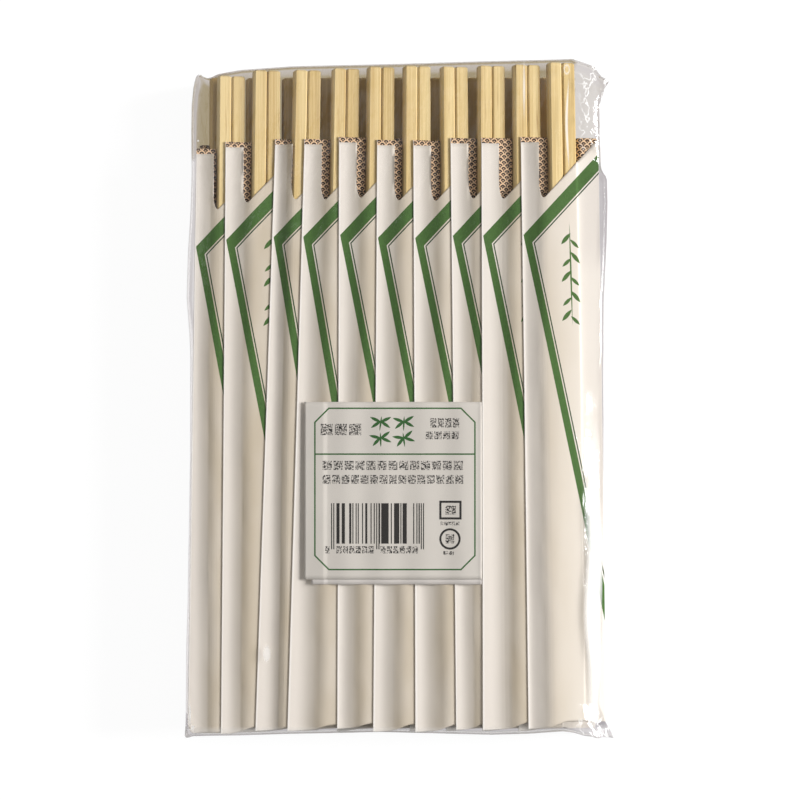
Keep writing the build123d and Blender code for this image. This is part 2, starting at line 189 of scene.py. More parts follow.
class Tree:
    """A material's node tree, written with short calls."""

    def __init__(self, name: str) -> None:
        """Starts an empty material."""
        self.material = bpy.data.materials.new(name)
        self.material.use_nodes = True
        self.nodes = self.material.node_tree.nodes
        self.links = self.material.node_tree.links
        self.nodes.clear()

    def put(self, socket: Socket, value: Value) -> None:
        """Links a socket, or sets its own value."""
        if isinstance(value, bpy.types.NodeSocket):
            self.links.new(value, socket)
        elif isinstance(value, tuple) and len(value) == 3 and socket.type == "RGBA":
            socket.default_value = (*value, 1.0)
        else:
            socket.default_value = value

    def node(self, kind: str, inputs: Optional[dict] = None,
             **settings: object) -> bpy.types.Node:
        """Adds a node, sets its options and fills its inputs by name or number."""
        made = self.nodes.new(kind)
        for key, setting in settings.items():
            setattr(made, key, setting)
        for key, value in (inputs or {}).items():
            self.put(made.inputs[key], value)
        return made

    def math(self, operation: str, *values: Value) -> Socket:
        """The outcome of a Math node on the given values."""
        made = self.node("ShaderNodeMath", dict(enumerate(values)), operation=operation)
        return made.outputs[0]

    def add(self, first: Value, second: Value) -> Socket:
        """The sum of two values."""
        return self.math("ADD", first, second)

    def minus(self, first: Value, second: Value) -> Socket:
        """The first value less the second."""
        return self.math("SUBTRACT", first, second)

    def apart(self, first: Value, second: Value) -> Socket:
        """The distance between two values."""
        return self.math("ABSOLUTE", self.minus(first, second))

    def times(self, first: Value, second: Value) -> Socket:
        """The product of two values."""
        return self.math("MULTIPLY", first, second)

    def less(self, first: Value, second: Value) -> Socket:
        """1 where the first value is under the second, else 0."""
        return self.math("LESS_THAN", first, second)

    def more(self, first: Value, second: Value) -> Socket:
        """1 where the first value is over the second, else 0."""
        return self.math("GREATER_THAN", first, second)

    def either(self, *values: Value) -> Socket:
        """The highest of several masks."""
        total = values[0]
        for value in values[1:]:
            total = self.math("MAXIMUM", total, value)
        return total

    def mix(self, share: Value, first: Value, second: Value) -> Socket:
        """A colour between two, by a share from 0 to 1."""
        made = self.node("ShaderNodeMix", data_type="RGBA")
        self.put(made.inputs["Factor"], share)
        self.put(made.inputs[6], first)
        self.put(made.inputs[7], second)
        return made.outputs[2]

    def coordinates(self, scale: tuple) -> Socket:
        """Object coordinates in metres, stretched by a scale for each axis."""
        source = self.node("ShaderNodeTexCoord").outputs["Object"]
        made = self.node("ShaderNodeMapping", {"Vector": source, "Scale": scale})
        return made.outputs[0]

    def sheet(self) -> Socket:
        """The flat pattern coordinates of the piece, in millimetres."""
        return self.node("ShaderNodeUVMap", uv_map="sheet").outputs[0]

    def noise(self, vector: Socket, detail: float) -> Socket:
        """Cloudy values from 0 to 1."""
        made = self.node("ShaderNodeTexNoise", {"Vector": vector, "Scale": 1.0,
                                                "Detail": detail})
        return made.outputs[0]

    def grain(self, scale: tuple, detail: float) -> Socket:
        """Noise in object coordinates, with so many waves to the metre along each axis."""
        return self.noise(self.coordinates(scale), detail=detail)

    def between(self, value: Value, low: float, high: float) -> Socket:
        """Stretches the span from low to high over 0 to 1, and holds it there."""
        made = self.node("ShaderNodeMapRange", {"Value": value, "From Min": low,
                                                "From Max": high})
        return made.outputs[0]

    def bump(self, height: Socket, strength: float, depth: float) -> Socket:
        """A normal bent by a height pattern whose full depth is given in metres."""
        made = self.node("ShaderNodeBump", {"Strength": strength, "Distance": depth,
                                            "Height": height})
        return made.outputs[0]

    def mark(self, name: str) -> Socket:
        """A number that the piece carries for each point."""
        return self.node("ShaderNodeAttribute", attribute_name=name).outputs["Fac"]

    def centred(self, place: Socket, middle: tuple) -> Socket:
        """The way from a middle to the place."""
        return self.node("ShaderNodeVectorMath", {0: place, 1: (*middle, 0.0)},
                         operation="SUBTRACT").outputs[0]

    def parts(self, vector: Socket) -> tuple[Socket, Socket]:
        """The first two numbers of a vector."""
        made = self.node("ShaderNodeSeparateXYZ", {0: vector})
        return made.outputs[0], made.outputs[1]

    def leaf(self, place: Socket, middle: tuple, size: tuple, turn: float) -> Socket:
        """1 in a pointed leaf: its half width falls with the square of the length."""
        turned = self.node("ShaderNodeVectorRotate",
                           {"Vector": self.centred(place, middle),
                            "Angle": -math.radians(turn)},
                           rotation_type="Z_AXIS").outputs[0]
        ahead, beside = self.parts(turned)
        reach = self.math("DIVIDE", ahead, size[0])
        width = self.times(self.minus(1.0, self.times(reach, reach)), size[1])
        return self.less(self.math("ABSOLUTE", beside), width)

    def ring(self, place: Socket, middle: tuple, half: tuple) -> Socket:
        """The distance from a middle as a share of an ellipse's half sizes."""
        scaled = self.node("ShaderNodeVectorMath", {0: self.centred(place, middle),
                                                    1: (1 / half[0], 1 / half[1], 0.0)},
                           operation="MULTIPLY").outputs[0]
        return self.node("ShaderNodeVectorMath", {0: scaled}, operation="LENGTH").outputs[1]

    def field(self, place: Socket, low: tuple, high: tuple) -> Socket:
        """1 inside a rectangle: the larger of the two distances past its sides is negative."""
        middle = tuple((a + b) / 2 for a, b in zip(low, high))
        half = tuple((b - a) / 2 for a, b in zip(low, high))
        away = self.node("ShaderNodeVectorMath", {0: self.centred(place, middle)},
                         operation="ABSOLUTE").outputs[0]
        across, up = self.parts(self.centred(away, half))
        return self.less(self.math("MAXIMUM", across, up), 0.0)

    def finish(self, shader: Socket) -> bpy.types.Material:
        """Ends the tree in a shader and returns the material."""
        output = self.node("ShaderNodeOutputMaterial")
        self.links.new(shader, output.inputs[0])
        return self.material

    def surface(self, colour: Value, roughness: Value, **inputs: Value) -> bpy.types.Material:
        """Ends the tree in a Principled surface and returns the material."""
        values = {"Base Color": colour, "Roughness": roughness}
        for key, value in inputs.items():
            values[key.replace("_", " ")] = value
        return self.finish(self.node("ShaderNodeBsdfPrincipled", values).outputs[0])


@dataclass(frozen=True)
class BareBamboo:
    """Planed bamboo: fine fibres along Y, paler and darker strips, and short dark flecks."""

    name: str = "bare_bamboo"
    pale: tuple = (0.80, 0.635, 0.315)
    deep: tuple = (0.57, 0.40, 0.15)
    fleck: tuple = (0.50, 0.32, 0.13)
    strip_grain: tuple = (260.0, 3.0, 260.0)
    fibre_grain: tuple = (2400.0, 22.0, 2400.0)
    fleck_grain: tuple = (1500.0, 60.0, 1500.0)
    fibre_depth: float = 0.00006

    def make(self) -> bpy.types.Material:
        """Builds the material."""
        tree = Tree(self.name)
        strips = tree.grain(self.strip_grain, 2.0)
        fibres = tree.grain(self.fibre_grain, 4.0)
        flecks = tree.grain(self.fleck_grain, 1.0)
        share = tree.add(tree.times(strips, 0.9), tree.times(fibres, 0.7))
        colour = tree.mix(tree.between(share, 0.6, 0.95), self.deep, self.pale)
        colour = tree.mix(tree.between(flecks, 0.66, 0.8), colour, self.fleck)
        height = tree.add(fibres, tree.times(flecks, -0.3))
        return tree.surface(colour, tree.between(fibres, -0.6, 1.2),
                            Normal=tree.bump(height, 0.35, self.fibre_depth),
                            Specular_IOR_Level=0.3)


@dataclass(frozen=True)
class CollarPrint:
    """Sleeve paper with a collar of two crossing stripes: a broad band and a fine line.

    The flat pattern's first number is the distance from the left fold and the second is the
    height over the tab's edge, both in millimetres as seen from the front.
    """

    paper: tuple = (0.81, 0.765, 0.695)
    # Darker, warmer paper over the pair's slope and crest: partly the bamboo seen through the thin
    # paper, partly painted shade.
    wood_and_shade_colour: tuple = (0.535, 0.46, 0.335)
    fold: tuple = (0.95, 0.93, 0.89)
    ink: tuple = (0.046, 0.112, 0.021)
    dark_ink: tuple = (0.025, 0.06, 0.02)
    corner: tuple = (0.9, -29.6)
    band_height: float = 5.4
    band_width: float = 2.35
    climb: float = 1.07
    lean: float = 0.2
    line_gap: float = 0.38
    line_width: float = 0.40
    slant: float = 1.45
    fold_edge: tuple = (1.15, 0.75)
    stem_middle: tuple = (16.0, -42.0)
    stem_half: tuple = (16.5, 0.26)
    stem_turn: float = 91.0
    leaf_heights: tuple = (-29.0, -35.0, -41.0, -47.5, -53.5)
    large_leaf: tuple = (2.4, 0.66)
    small_leaf: tuple = (2.0, 0.55)
    cloud_grain: tuple = (90.0, 30.0, 90.0)
    fibre_grain: tuple = (2600.0, 1500.0, 2600.0)
    fibre_depth: float = 0.00008

    def inside_collar(self, tree: Tree, over: Socket, beside: Socket,
                      inset: float) -> Socket:
        """1 right of and below a corner that lies an inset inside the band's inner one.

        The upper arm is slanted, so its inset counts upright with the arm's slant.
        """
        under = tree.less(over, -self.band_height - inset * self.slant)
        return tree.times(under, tree.more(beside, self.band_width + inset))

    def sprig(self, tree: Tree, place: Socket) -> Socket:
        """A plain bamboo sprig: a thin stem with a large and a small leaf at each height."""
        middle = self.stem_middle[0]
        masks = [tree.leaf(place, self.stem_middle, self.stem_half, self.stem_turn)]
        for number, height in enumerate(self.leaf_heights):
            side = 1 if number % 2 else -1
            large, small = (middle + 1.5 * side, height - 1.7), (middle - 1.3 * side, height - 3.3)
            masks.append(tree.leaf(place, large, self.large_leaf, -90 + 40 * side))
            masks.append(tree.leaf(place, small, self.small_leaf, -90 - 46 * side))
        return tree.either(*masks)

    def make(self) -> bpy.types.Material:
        """Builds the material.

        A place is over the upper arm by its rise less its run times the climb, and beside
        the lower arm by its run and its rise times the lean, both from the collar's corner.
        """
        tree = Tree("collar_print_paper")
        place = tree.sheet()
        right, up = tree.parts(place)
        rise = tree.minus(up, self.corner[1])
        run = tree.minus(right, self.corner[0])
        over = tree.minus(rise, tree.times(run, self.climb))
        beside = tree.add(run, tree.times(rise, self.lean))
        outer = tree.times(tree.less(over, 0.0), tree.more(beside, 0.0))
        inner, line_outer, line_inner = (
            self.inside_collar(tree, over, beside, inset)
            for inset in (0.0, self.line_gap, self.line_gap + self.line_width))
        shown = tree.more(tree.mark("front"), 0.5)
        band = tree.times(tree.minus(outer, inner), shown)
        line = tree.times(tree.minus(line_outer, line_inner), shown)
        band = tree.either(band, tree.times(self.sprig(tree, place), shown))
        cloud = tree.grain(self.cloud_grain, 2.0)
        fibre = tree.grain(self.fibre_grain, 4.0)
        tone = tree.between(tree.add(cloud, tree.times(fibre, 0.35)), 0.2, 1.2)
        paper = tree.mix(tone, dimmed(self.paper, 0.95), self.paper)
        # Wood tint and painted shade where the paper lies over the pair, broken by the cloud.
        over_pair = tree.times(tree.mark("over_pair"), tree.between(cloud, -0.2, 0.8))
        paper = tree.mix(over_pair, paper, self.wood_and_shade_colour)
        at_fold = tree.times(tree.between(right, *self.fold_edge), tree.times(shown, 0.7))
        paper = tree.mix(at_fold, paper, self.fold)
        print_tone = tree.mix(tree.between(fibre, 0.3, 0.75), self.ink, dimmed(self.ink, 1.5))
        colour = tree.mix(band, paper, print_tone)
        colour = tree.mix(line, colour, self.dark_ink)
        return tree.surface(colour, 0.72, Specular_IOR_Level=0.25,
                            Normal=tree.bump(fibre, 0.25, self.fibre_depth))


@dataclass(frozen=True)
class ScaleLining:
    """The sleeve's inner side: rows of beige scales on a dark red-brown ground.

    Each scale is an arc and a dot at shares of its radius, with soft edges, on a ground
    that shows through where the print is worn.
    """

    ground: tuple = (0.028, 0.009, 0.004)
    stroke: tuple = (0.88, 0.62, 0.38)
    scale: float = 2.3
    row: float = 0.95
    turn: float = 0.05
    dot_edge: tuple = (0.27, 0.17)
    arc: float = 0.82
    arc_edge: tuple = (0.19, 0.12)
    worn: tuple = (0.26, 0.42)
    worn_grain: tuple = (700.0, 700.0, 0.0)

    def away(self, tree: Tree, across: Socket, up: Socket, number: int) -> Socket:
        """The distance from the middle of the scale in a row below, over its radius.

        Each row stands half a scale to the side of the next one.
        """
        rows = tree.math("DIVIDE", up, self.row)
        half_turn = tree.times(tree.math("FLOOR", rows), 0.5)
        shifted = tree.add(tree.math("DIVIDE", across, self.scale),
                           tree.add(half_turn, 0.5 * number))
        aside = tree.times(tree.minus(tree.math("FRACT", shifted), 0.5), 2.0)
        over = tree.add(tree.math("FRACT", rows), float(number))
        over = tree.times(over, self.row / (self.scale / 2.0))
        return tree.math("SQRT", tree.add(tree.times(aside, aside), tree.times(over, over)))

    def make(self) -> bpy.types.Material:
        """Builds the material: in each place the first scale that reaches it is drawn."""
        tree = Tree("scale_pattern_lining")
        turned = tree.node("ShaderNodeVectorRotate", {
            "Vector": tree.coordinates(PER_MILLIMETRE), "Angle": self.turn},
            rotation_type="Z_AXIS").outputs[0]
        across, up = tree.parts(turned)
        front = self.away(tree, across, up, 0)
        behind = self.away(tree, across, up, 1)
        apart = tree.node("ShaderNodeMix", {0: tree.less(front, 1.0), 2: behind, 3: front},
                          data_type="FLOAT").outputs[0]
        dot = tree.between(apart, *self.dot_edge)
        arc = tree.between(tree.apart(apart, self.arc), *self.arc_edge)
        broken = tree.grain(self.worn_grain, 1.0)
        share = tree.times(tree.either(dot, arc), tree.between(broken, *self.worn))
        return tree.surface(tree.mix(share, self.ground, self.stroke), 0.7)


@dataclass(frozen=True)
class PlainPaper:
    """Plain white paper with faint fibres, for cut edges and leaves without print."""

    name: str = "paper_edge"
    colour: tuple = (0.84, 0.80, 0.75)
    fibre_grain: tuple = (2200.0, 2200.0, 2200.0)
    fibre_depth: float = 0.00006

    def make(self) -> bpy.types.Material:
        """Builds the material."""
        tree = Tree(self.name)
        fibre = tree.grain(self.fibre_grain, 3.0)
        colour = tree.mix(fibre, dimmed(self.colour, 0.94), self.colour)
        return tree.surface(colour, 0.75, Normal=tree.bump(fibre, 0.2, self.fibre_depth))


@dataclass(frozen=True)
class LabelPrint:
    """The label's face: a frame with cut corners, a divider and fields of generic strokes.

    The flat pattern's numbers are millimetres from the front leaf's left and lower edges.
    Rows of cells hold chance strokes, the bar field has bars of chance widths, and a plain
    square ring and a plain round ring stand beside it.
    """

    card: tuple = (0.73, 0.70, 0.64)
    green: tuple = (0.03, 0.125, 0.025)
    ink: tuple = (0.022, 0.020, 0.018)
    frame_low: tuple = (3.1, 2.9)
    frame_high: tuple = (54.6, 54.8)
    cut_corner: float = 4.6
    line: float = 0.48
    divider: float = 39.95
    stroke_grains: tuple = (((1.0, 3.6, 0.0), 3.0), ((3.4, 1.1, 0.0), 9.0))
    stroke_level: float = 0.545
    cell_share: float = 0.84
    cell_rows: tuple = (
        ((5.2, 46.0), (18.8, 49.6), 3), ((40.1, 48.4), (49.7, 51.4), 4),
        ((38.7, 44.7), (49.7, 47.2), 4), ((5.8, 34.9), (51.1, 37.8), 13),
        ((5.8, 30.5), (51.1, 33.3), 15), ((6.6, 8.3), (8.3, 10.6), 1),
        ((10.2, 8.3), (22.4, 10.6), 6), ((24.2, 8.3), (36.5, 10.6), 6),
        ((43.4, 17.2), (49.6, 18.4), 5), ((44.3, 7.8), (47.9, 9.0), 2))
    bar: float = 0.34
    bars_low: tuple = (9.9, 11.4)
    bars_high: tuple = (36.8, 24.3)
    long_bars: tuple = (8.5, 9.2, 22.9, 23.6, 37.1, 37.8)
    long_bar_width: float = 0.33
    long_bar_foot: float = 9.6
    square_outer: tuple = ((43.0, 19.1), (50.1, 25.1))
    square_inner: tuple = ((43.7, 19.8), (49.4, 24.4))
    round_middle: tuple = (46.4, 12.9)
    round_radius: float = 3.4
    round_inner_share: float = 0.8
    ring_fields: tuple = (((44.9, 20.7), (48.3, 23.5)), ((45.0, 11.5), (47.8, 14.4)))
    spray_middles: tuple = ((24.3, 49.8), (31.7, 49.8), (24.3, 44.6), (31.7, 44.6))
    spray_stem: tuple = (2.4, 0.28)
    spray_leaf: tuple = (2.0, 0.5)
    spray_turns: tuple = (25, 155, -35, 215)
    cloud_grain: tuple = (60.0, 60.0, 60.0)
    fibre_grain: tuple = (2600.0, 2600.0, 2600.0)
    fibre_depth: float = 0.00005

    def cut_frame(self, tree: Tree, place: Socket, inset: float) -> Socket:
        """1 inside a rectangle with cut corners, a number of millimetres inside the frame."""
        low, high = self.frame_low, self.frame_high
        middle = tuple((a + b) / 2 for a, b in zip(low, high))
        half = tuple((b - a) / 2 - inset for a, b in zip(low, high))
        away = tree.node("ShaderNodeVectorMath", {0: tree.centred(place, middle)},
                         operation="ABSOLUTE").outputs[0]
        across, up = tree.parts(away)
        reach = half[0] + half[1] - self.cut_corner + inset * 0.6
        cut = tree.less(tree.add(across, up), reach)
        return tree.times(tree.times(tree.less(across, half[0]), tree.less(up, half[1])), cut)

    def strokes(self, tree: Tree, place: Socket) -> Socket:
        """Short chance strokes, some lying and some standing."""
        masks = []
        for scale, shift in self.stroke_grains:
            stretched = tree.node("ShaderNodeMapping", {
                "Vector": place, "Scale": scale, "Location": (shift, shift, 0.0)}).outputs[0]
            masks.append(tree.more(tree.noise(stretched, 1.0), self.stroke_level))
        return tree.either(*masks)

    def row_of_cells(self, tree: Tree, place: Socket, low: tuple, high: tuple,
                     count: int) -> Socket:
        """1 in a row of equal cells with a narrow gap after each."""
        pitch = (high[0] - low[0]) / count
        across = tree.parts(tree.centred(place, low))[0]
        share = tree.math("FRACT", tree.math("DIVIDE", across, pitch))
        return tree.times(tree.field(place, low, high), tree.less(share, self.cell_share))

    def bars(self, tree: Tree, place: Socket) -> Socket:
        """Bars of chance widths between longer plain pairs of bars."""
        across = tree.parts(place)[0]
        number = tree.math("FLOOR", tree.math("DIVIDE", across, self.bar))
        chance = tree.node("ShaderNodeTexWhiteNoise", {"W": number},
                           noise_dimensions="1D").outputs["Value"]
        masks = [tree.times(tree.field(place, self.bars_low, self.bars_high),
                            tree.more(chance, 0.5))]
        for left in self.long_bars:
            masks.append(tree.field(place, (left, self.long_bar_foot),
                                    (left + self.long_bar_width, self.bars_high[1])))
        return tree.either(*masks)

    def rings(self, tree: Tree, place: Socket) -> Socket:
        """A square ring and a round ring, each with a few strokes inside."""
        outer = tree.field(place, *self.square_outer)
        inner = tree.field(place, *self.square_inner)
        away = tree.ring(place, self.round_middle, (self.round_radius, self.round_radius))
        round_ring = tree.times(tree.less(away, 1.0), tree.more(away, self.round_inner_share))
        inside = tree.either(*[tree.field(place, *field) for field in self.ring_fields])
        return tree.either(tree.minus(outer, inner), round_ring,
                           tree.times(inside, self.strokes(tree, place)))

    def sprays(self, tree: Tree, place: Socket) -> Socket:
        """Four small sprays of leaves in two rows, each turned a little further."""
        masks = []
        for number, (x, y) in enumerate(self.spray_middles):
            masks.append(tree.leaf(place, (x, y - 0.1), self.spray_stem, 82 + 5 * number))
            for turn in self.spray_turns:
                angle = math.radians(turn + 6 * number)
                middle = (x + 1.75 * math.cos(angle), y + 0.5 + 1.5 * math.sin(angle))
                masks.append(tree.leaf(place, middle, self.spray_leaf, turn + 6 * number))
        return tree.either(*masks)

    def make(self) -> bpy.types.Material:
        """Builds the material."""
        tree = Tree("label_print")
        place = tree.sheet()
        frame_line = tree.minus(self.cut_frame(tree, place, 0.0),
                                self.cut_frame(tree, place, self.line))
        low = (self.frame_low[0], self.divider - self.line / 2)
        high = (self.frame_high[0], self.divider + self.line / 2)
        green = tree.either(frame_line, tree.field(place, low, high), self.sprays(tree, place))
        cells = tree.either(*[self.row_of_cells(tree, place, *row) for row in self.cell_rows])
        ink = tree.either(tree.times(cells, self.strokes(tree, place)),
                          self.bars(tree, place), self.rings(tree, place))
        cloud = tree.grain(self.cloud_grain, 2.0)
        fibre = tree.grain(self.fibre_grain, 3.0)
        card = tree.mix(tree.between(cloud, 0.3, 0.7), dimmed(self.card, 0.95), self.card)
        colour = tree.mix(ink, card, self.ink)
        colour = tree.mix(green, colour, self.green)
        return tree.surface(colour, 0.6, Specular_IOR_Level=0.3,
                            Normal=tree.bump(fibre, 0.15, self.fibre_depth))


@dataclass(frozen=True)
class PaintedHighlight:
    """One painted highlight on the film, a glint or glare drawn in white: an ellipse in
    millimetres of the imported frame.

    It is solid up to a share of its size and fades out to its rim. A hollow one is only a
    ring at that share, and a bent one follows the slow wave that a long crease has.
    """

    middle: tuple
    half: tuple
    solid: float
    strength: float
    bent: bool = False
    hollow: bool = False


@dataclass(frozen=True)
class ClearFilm:
    """Thin clear film: see-through, with painted shade in its tint at its loose ends and painted
    highlights along its creases.

    Each point carries five numbers: the painted shade, how far its tint is darkened for the shade
    under and behind the film; warm, how much of that painted shade is beige from the bamboo beside
    it; crumple, how creased it is; the painted veil, how much pale light is painted over it at the
    foot; and upper, which is 1 on the upper skin.
    """

    face_on: tuple = (0.972, 0.960, 0.955)
    edge_on: tuple = (0.62, 0.59, 0.60)
    # Painted shade: the tints for the shade that falls under and behind the film, grey, or beige
    # from the bamboo.
    cool_painted_shade: tuple = (0.45, 0.43, 0.45)
    warm_painted_shade: tuple = (0.39, 0.325, 0.20)
    # White laid over the film as painted highlights along creases and streaks, and as a painted
    # pale veil at the foot.
    crease: tuple = (0.93, 0.92, 0.90)
    roughness: float = 0.10
    wide_grain: tuple = (170.0, 60.0, 170.0)
    fine_grain: tuple = (230.0, 160.0, 200.0)
    crease_depth: float = 0.0012
    ridge_edge: tuple = (0.022, 0.004)
    streak_wave: float = 0.16
    streak_swing: float = 0.45
    painted_highlights: tuple = (
        PaintedHighlight((54.0, 87.5), (0.5, 15.5), 0.5, 0.62, bent=True),
        PaintedHighlight((53.6, 105.0), (1.0, 1.7), 0.8, 0.4, hollow=True),
        PaintedHighlight((40.0, 99.0), (0.55, 11.0), 0.0, 0.75),
        PaintedHighlight((-42.0, -81.2), (1.4, 3.1), 0.6, 0.42),
        PaintedHighlight((-63.9, 82.3), (0.45, 0.45), 0.4, 0.7),
        PaintedHighlight((-66.6, -100.6), (0.5, 4.2), 0.5, 0.8),
        PaintedHighlight((62.7, -60.0), (3.4, 54.0), 0.45, 0.72, bent=True))

    def highlight_share(self, tree: Tree, place: Socket) -> Socket:
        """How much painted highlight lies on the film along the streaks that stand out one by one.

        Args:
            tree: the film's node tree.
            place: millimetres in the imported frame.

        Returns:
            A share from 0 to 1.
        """
        across, up = tree.parts(place)
        wave = tree.math("SINE", tree.times(up, self.streak_wave))
        bend = tree.times(wave, self.streak_swing)
        bent = tree.node("ShaderNodeCombineXYZ", {0: tree.add(across, bend), 1: up}).outputs[0]
        masks = []
        for highlight in self.painted_highlights:
            away = tree.ring(bent if highlight.bent else place, highlight.middle, highlight.half)
            if highlight.hollow:
                mask = tree.between(tree.apart(away, highlight.solid), 0.3, 0.1)
            else:
                mask = tree.between(away, 1.0, highlight.solid)
            masks.append(tree.times(mask, highlight.strength))
        return tree.either(*masks)

    def make(self) -> bpy.types.Material:
        """Builds the material.

        The film lets light through with its tint, which holds the painted shade, and mirrors
        more the flatter it is seen, by the fifth power, though less where the painted shade is.
        A white diffuse share is laid over both as painted highlights and a painted pale veil.
        """
        tree = Tree("clear_film")
        facing = tree.node("ShaderNodeLayerWeight", {"Blend": 0.5}).outputs["Facing"]
        crumple = tree.mark("crumple")
        wide = tree.grain(self.wide_grain, 4.0)
        fine = tree.grain(self.fine_grain, 3.0)
        height = tree.add(wide, tree.times(tree.times(fine, crumple), 1.6))
        bend = tree.bump(height, 0.35, self.crease_depth)
        # The painted shade's colour, grey or beige.
        cloud = tree.mix(tree.mark("warm"), self.cool_painted_shade, self.warm_painted_shade)
        film = tree.mix(tree.mark("haze"), self.face_on, cloud)
        tint = tree.mix(tree.math("POWER", facing, 2.5), film, self.edge_on)
        clear = tree.node("ShaderNodeBsdfTransparent", {"Color": tint})
        gloss = tree.node("ShaderNodeBsdfGlossy", {"Color": (1.0, 1.0, 1.0),
                                                   "Roughness": self.roughness,
                                                   "Normal": bend})
        mirror = tree.add(tree.times(tree.math("POWER", facing, 5.0), 0.95), 0.05)
        dull = tree.either(tree.minus(1.0, tree.times(tree.mark("haze"), 2.0)), 0.1)
        mirror = tree.times(mirror, dull)
        mixed = tree.node("ShaderNodeMixShader", {0: mirror, 1: clear.outputs[0],
                                                  2: gloss.outputs[0]})
        # Painted glints: white lines along the creases where the film is crumpled.
        painted_glint = tree.between(tree.apart(fine, 0.5), *self.ridge_edge)
        painted_glint = tree.times(painted_glint, tree.times(crumple, 0.8))
        painted_highlights = self.highlight_share(tree, tree.coordinates(PER_MILLIMETRE))
        # Painted light: a white diffuse share for the painted highlights and the painted veil.
        painted_light = tree.node("ShaderNodeBsdfDiffuse", {"Color": self.crease})
        share = tree.either(painted_glint, tree.times(painted_highlights, tree.mark("upper")), tree.mark("veil"))
        final = tree.node("ShaderNodeMixShader", {0: share, 1: mixed.outputs[0],
                                                  2: painted_light.outputs[0]})
        return tree.finish(final.outputs[0])


@dataclass(frozen=True)
class PaleFloor:
    """A floor that is grey to the lamps and glows white to the camera and in mirrors."""

    colour: tuple = (0.14, 0.14, 0.14)
    glow: float = 0.925
    grain: tuple = (40.0, 40.0, 40.0)

    def make(self) -> bpy.types.Material:
        """Builds the material."""
        tree = Tree("pale_floor")
        path = tree.node("ShaderNodeLightPath").outputs
        seen = tree.either(path["Is Camera Ray"], path["Is Glossy Ray"],
                           path["Is Transmission Ray"])
        grain = tree.grain(self.grain, 2.0)
        colour = tree.mix(grain, dimmed(self.colour, 0.99), self.colour)
        diffuse = tree.node("ShaderNodeBsdfDiffuse", {"Color": colour})
        glow = tree.node("ShaderNodeEmission", {"Color": (1.0, 1.0, 1.0),
                                                "Strength": tree.times(seen, self.glow)})
        both = tree.node("ShaderNodeAddShader", {0: diffuse.outputs[0], 1: glow.outputs[0]})
        return tree.finish(both.outputs[0])


class RowName(Enum):
    """The three rows of the pack, from the label down."""

    FRONT = "front"
    MIDDLE = "middle"
    BACK = "back"


@dataclass(frozen=True)
class SleeveSizes:
    """The sizes that all sleeves and pairs share, in millimetres."""

    length: float = 189.0
    span: float = 24.8
    wall: float = 0.15
    slit: float = 0.06
    room: float = 0.1
    bevel: float = 0.4
    slope_share: float = 2.0
    flap_flat: float = 1.5
    tail_share: float = 0.35
    foot_room: float = 2.2
    back_rise: float = 1.75
    tab_width: float = 5.7
    notch_depth: float = 17.6
    stick_width: tuple = (4.1, 4.5)
    stick_thickness: tuple = (4.0, 4.5)
    split_gap: float = 0.25
    lap_gap: float = 0.12
    slide: float = 3.0
    pitch: float = 11.7
    flap: float = 12.5

    @property
    def panel_half(self) -> float:
        """Half the height of two panels that lie on each other."""
        return self.wall + self.slit / 2.0

    def half_width(self, y: np.ndarray) -> np.ndarray:
        """Half the outside width where the sleeve wraps its pair."""
        return taper(y, *self.stick_width) + self.split_gap / 2.0 + self.room + self.wall

    def half_height(self, y: np.ndarray) -> np.ndarray:
        """Half the outside height where the sleeve wraps its pair."""
        return taper(y, *self.stick_thickness) / 2.0 + self.room + self.wall


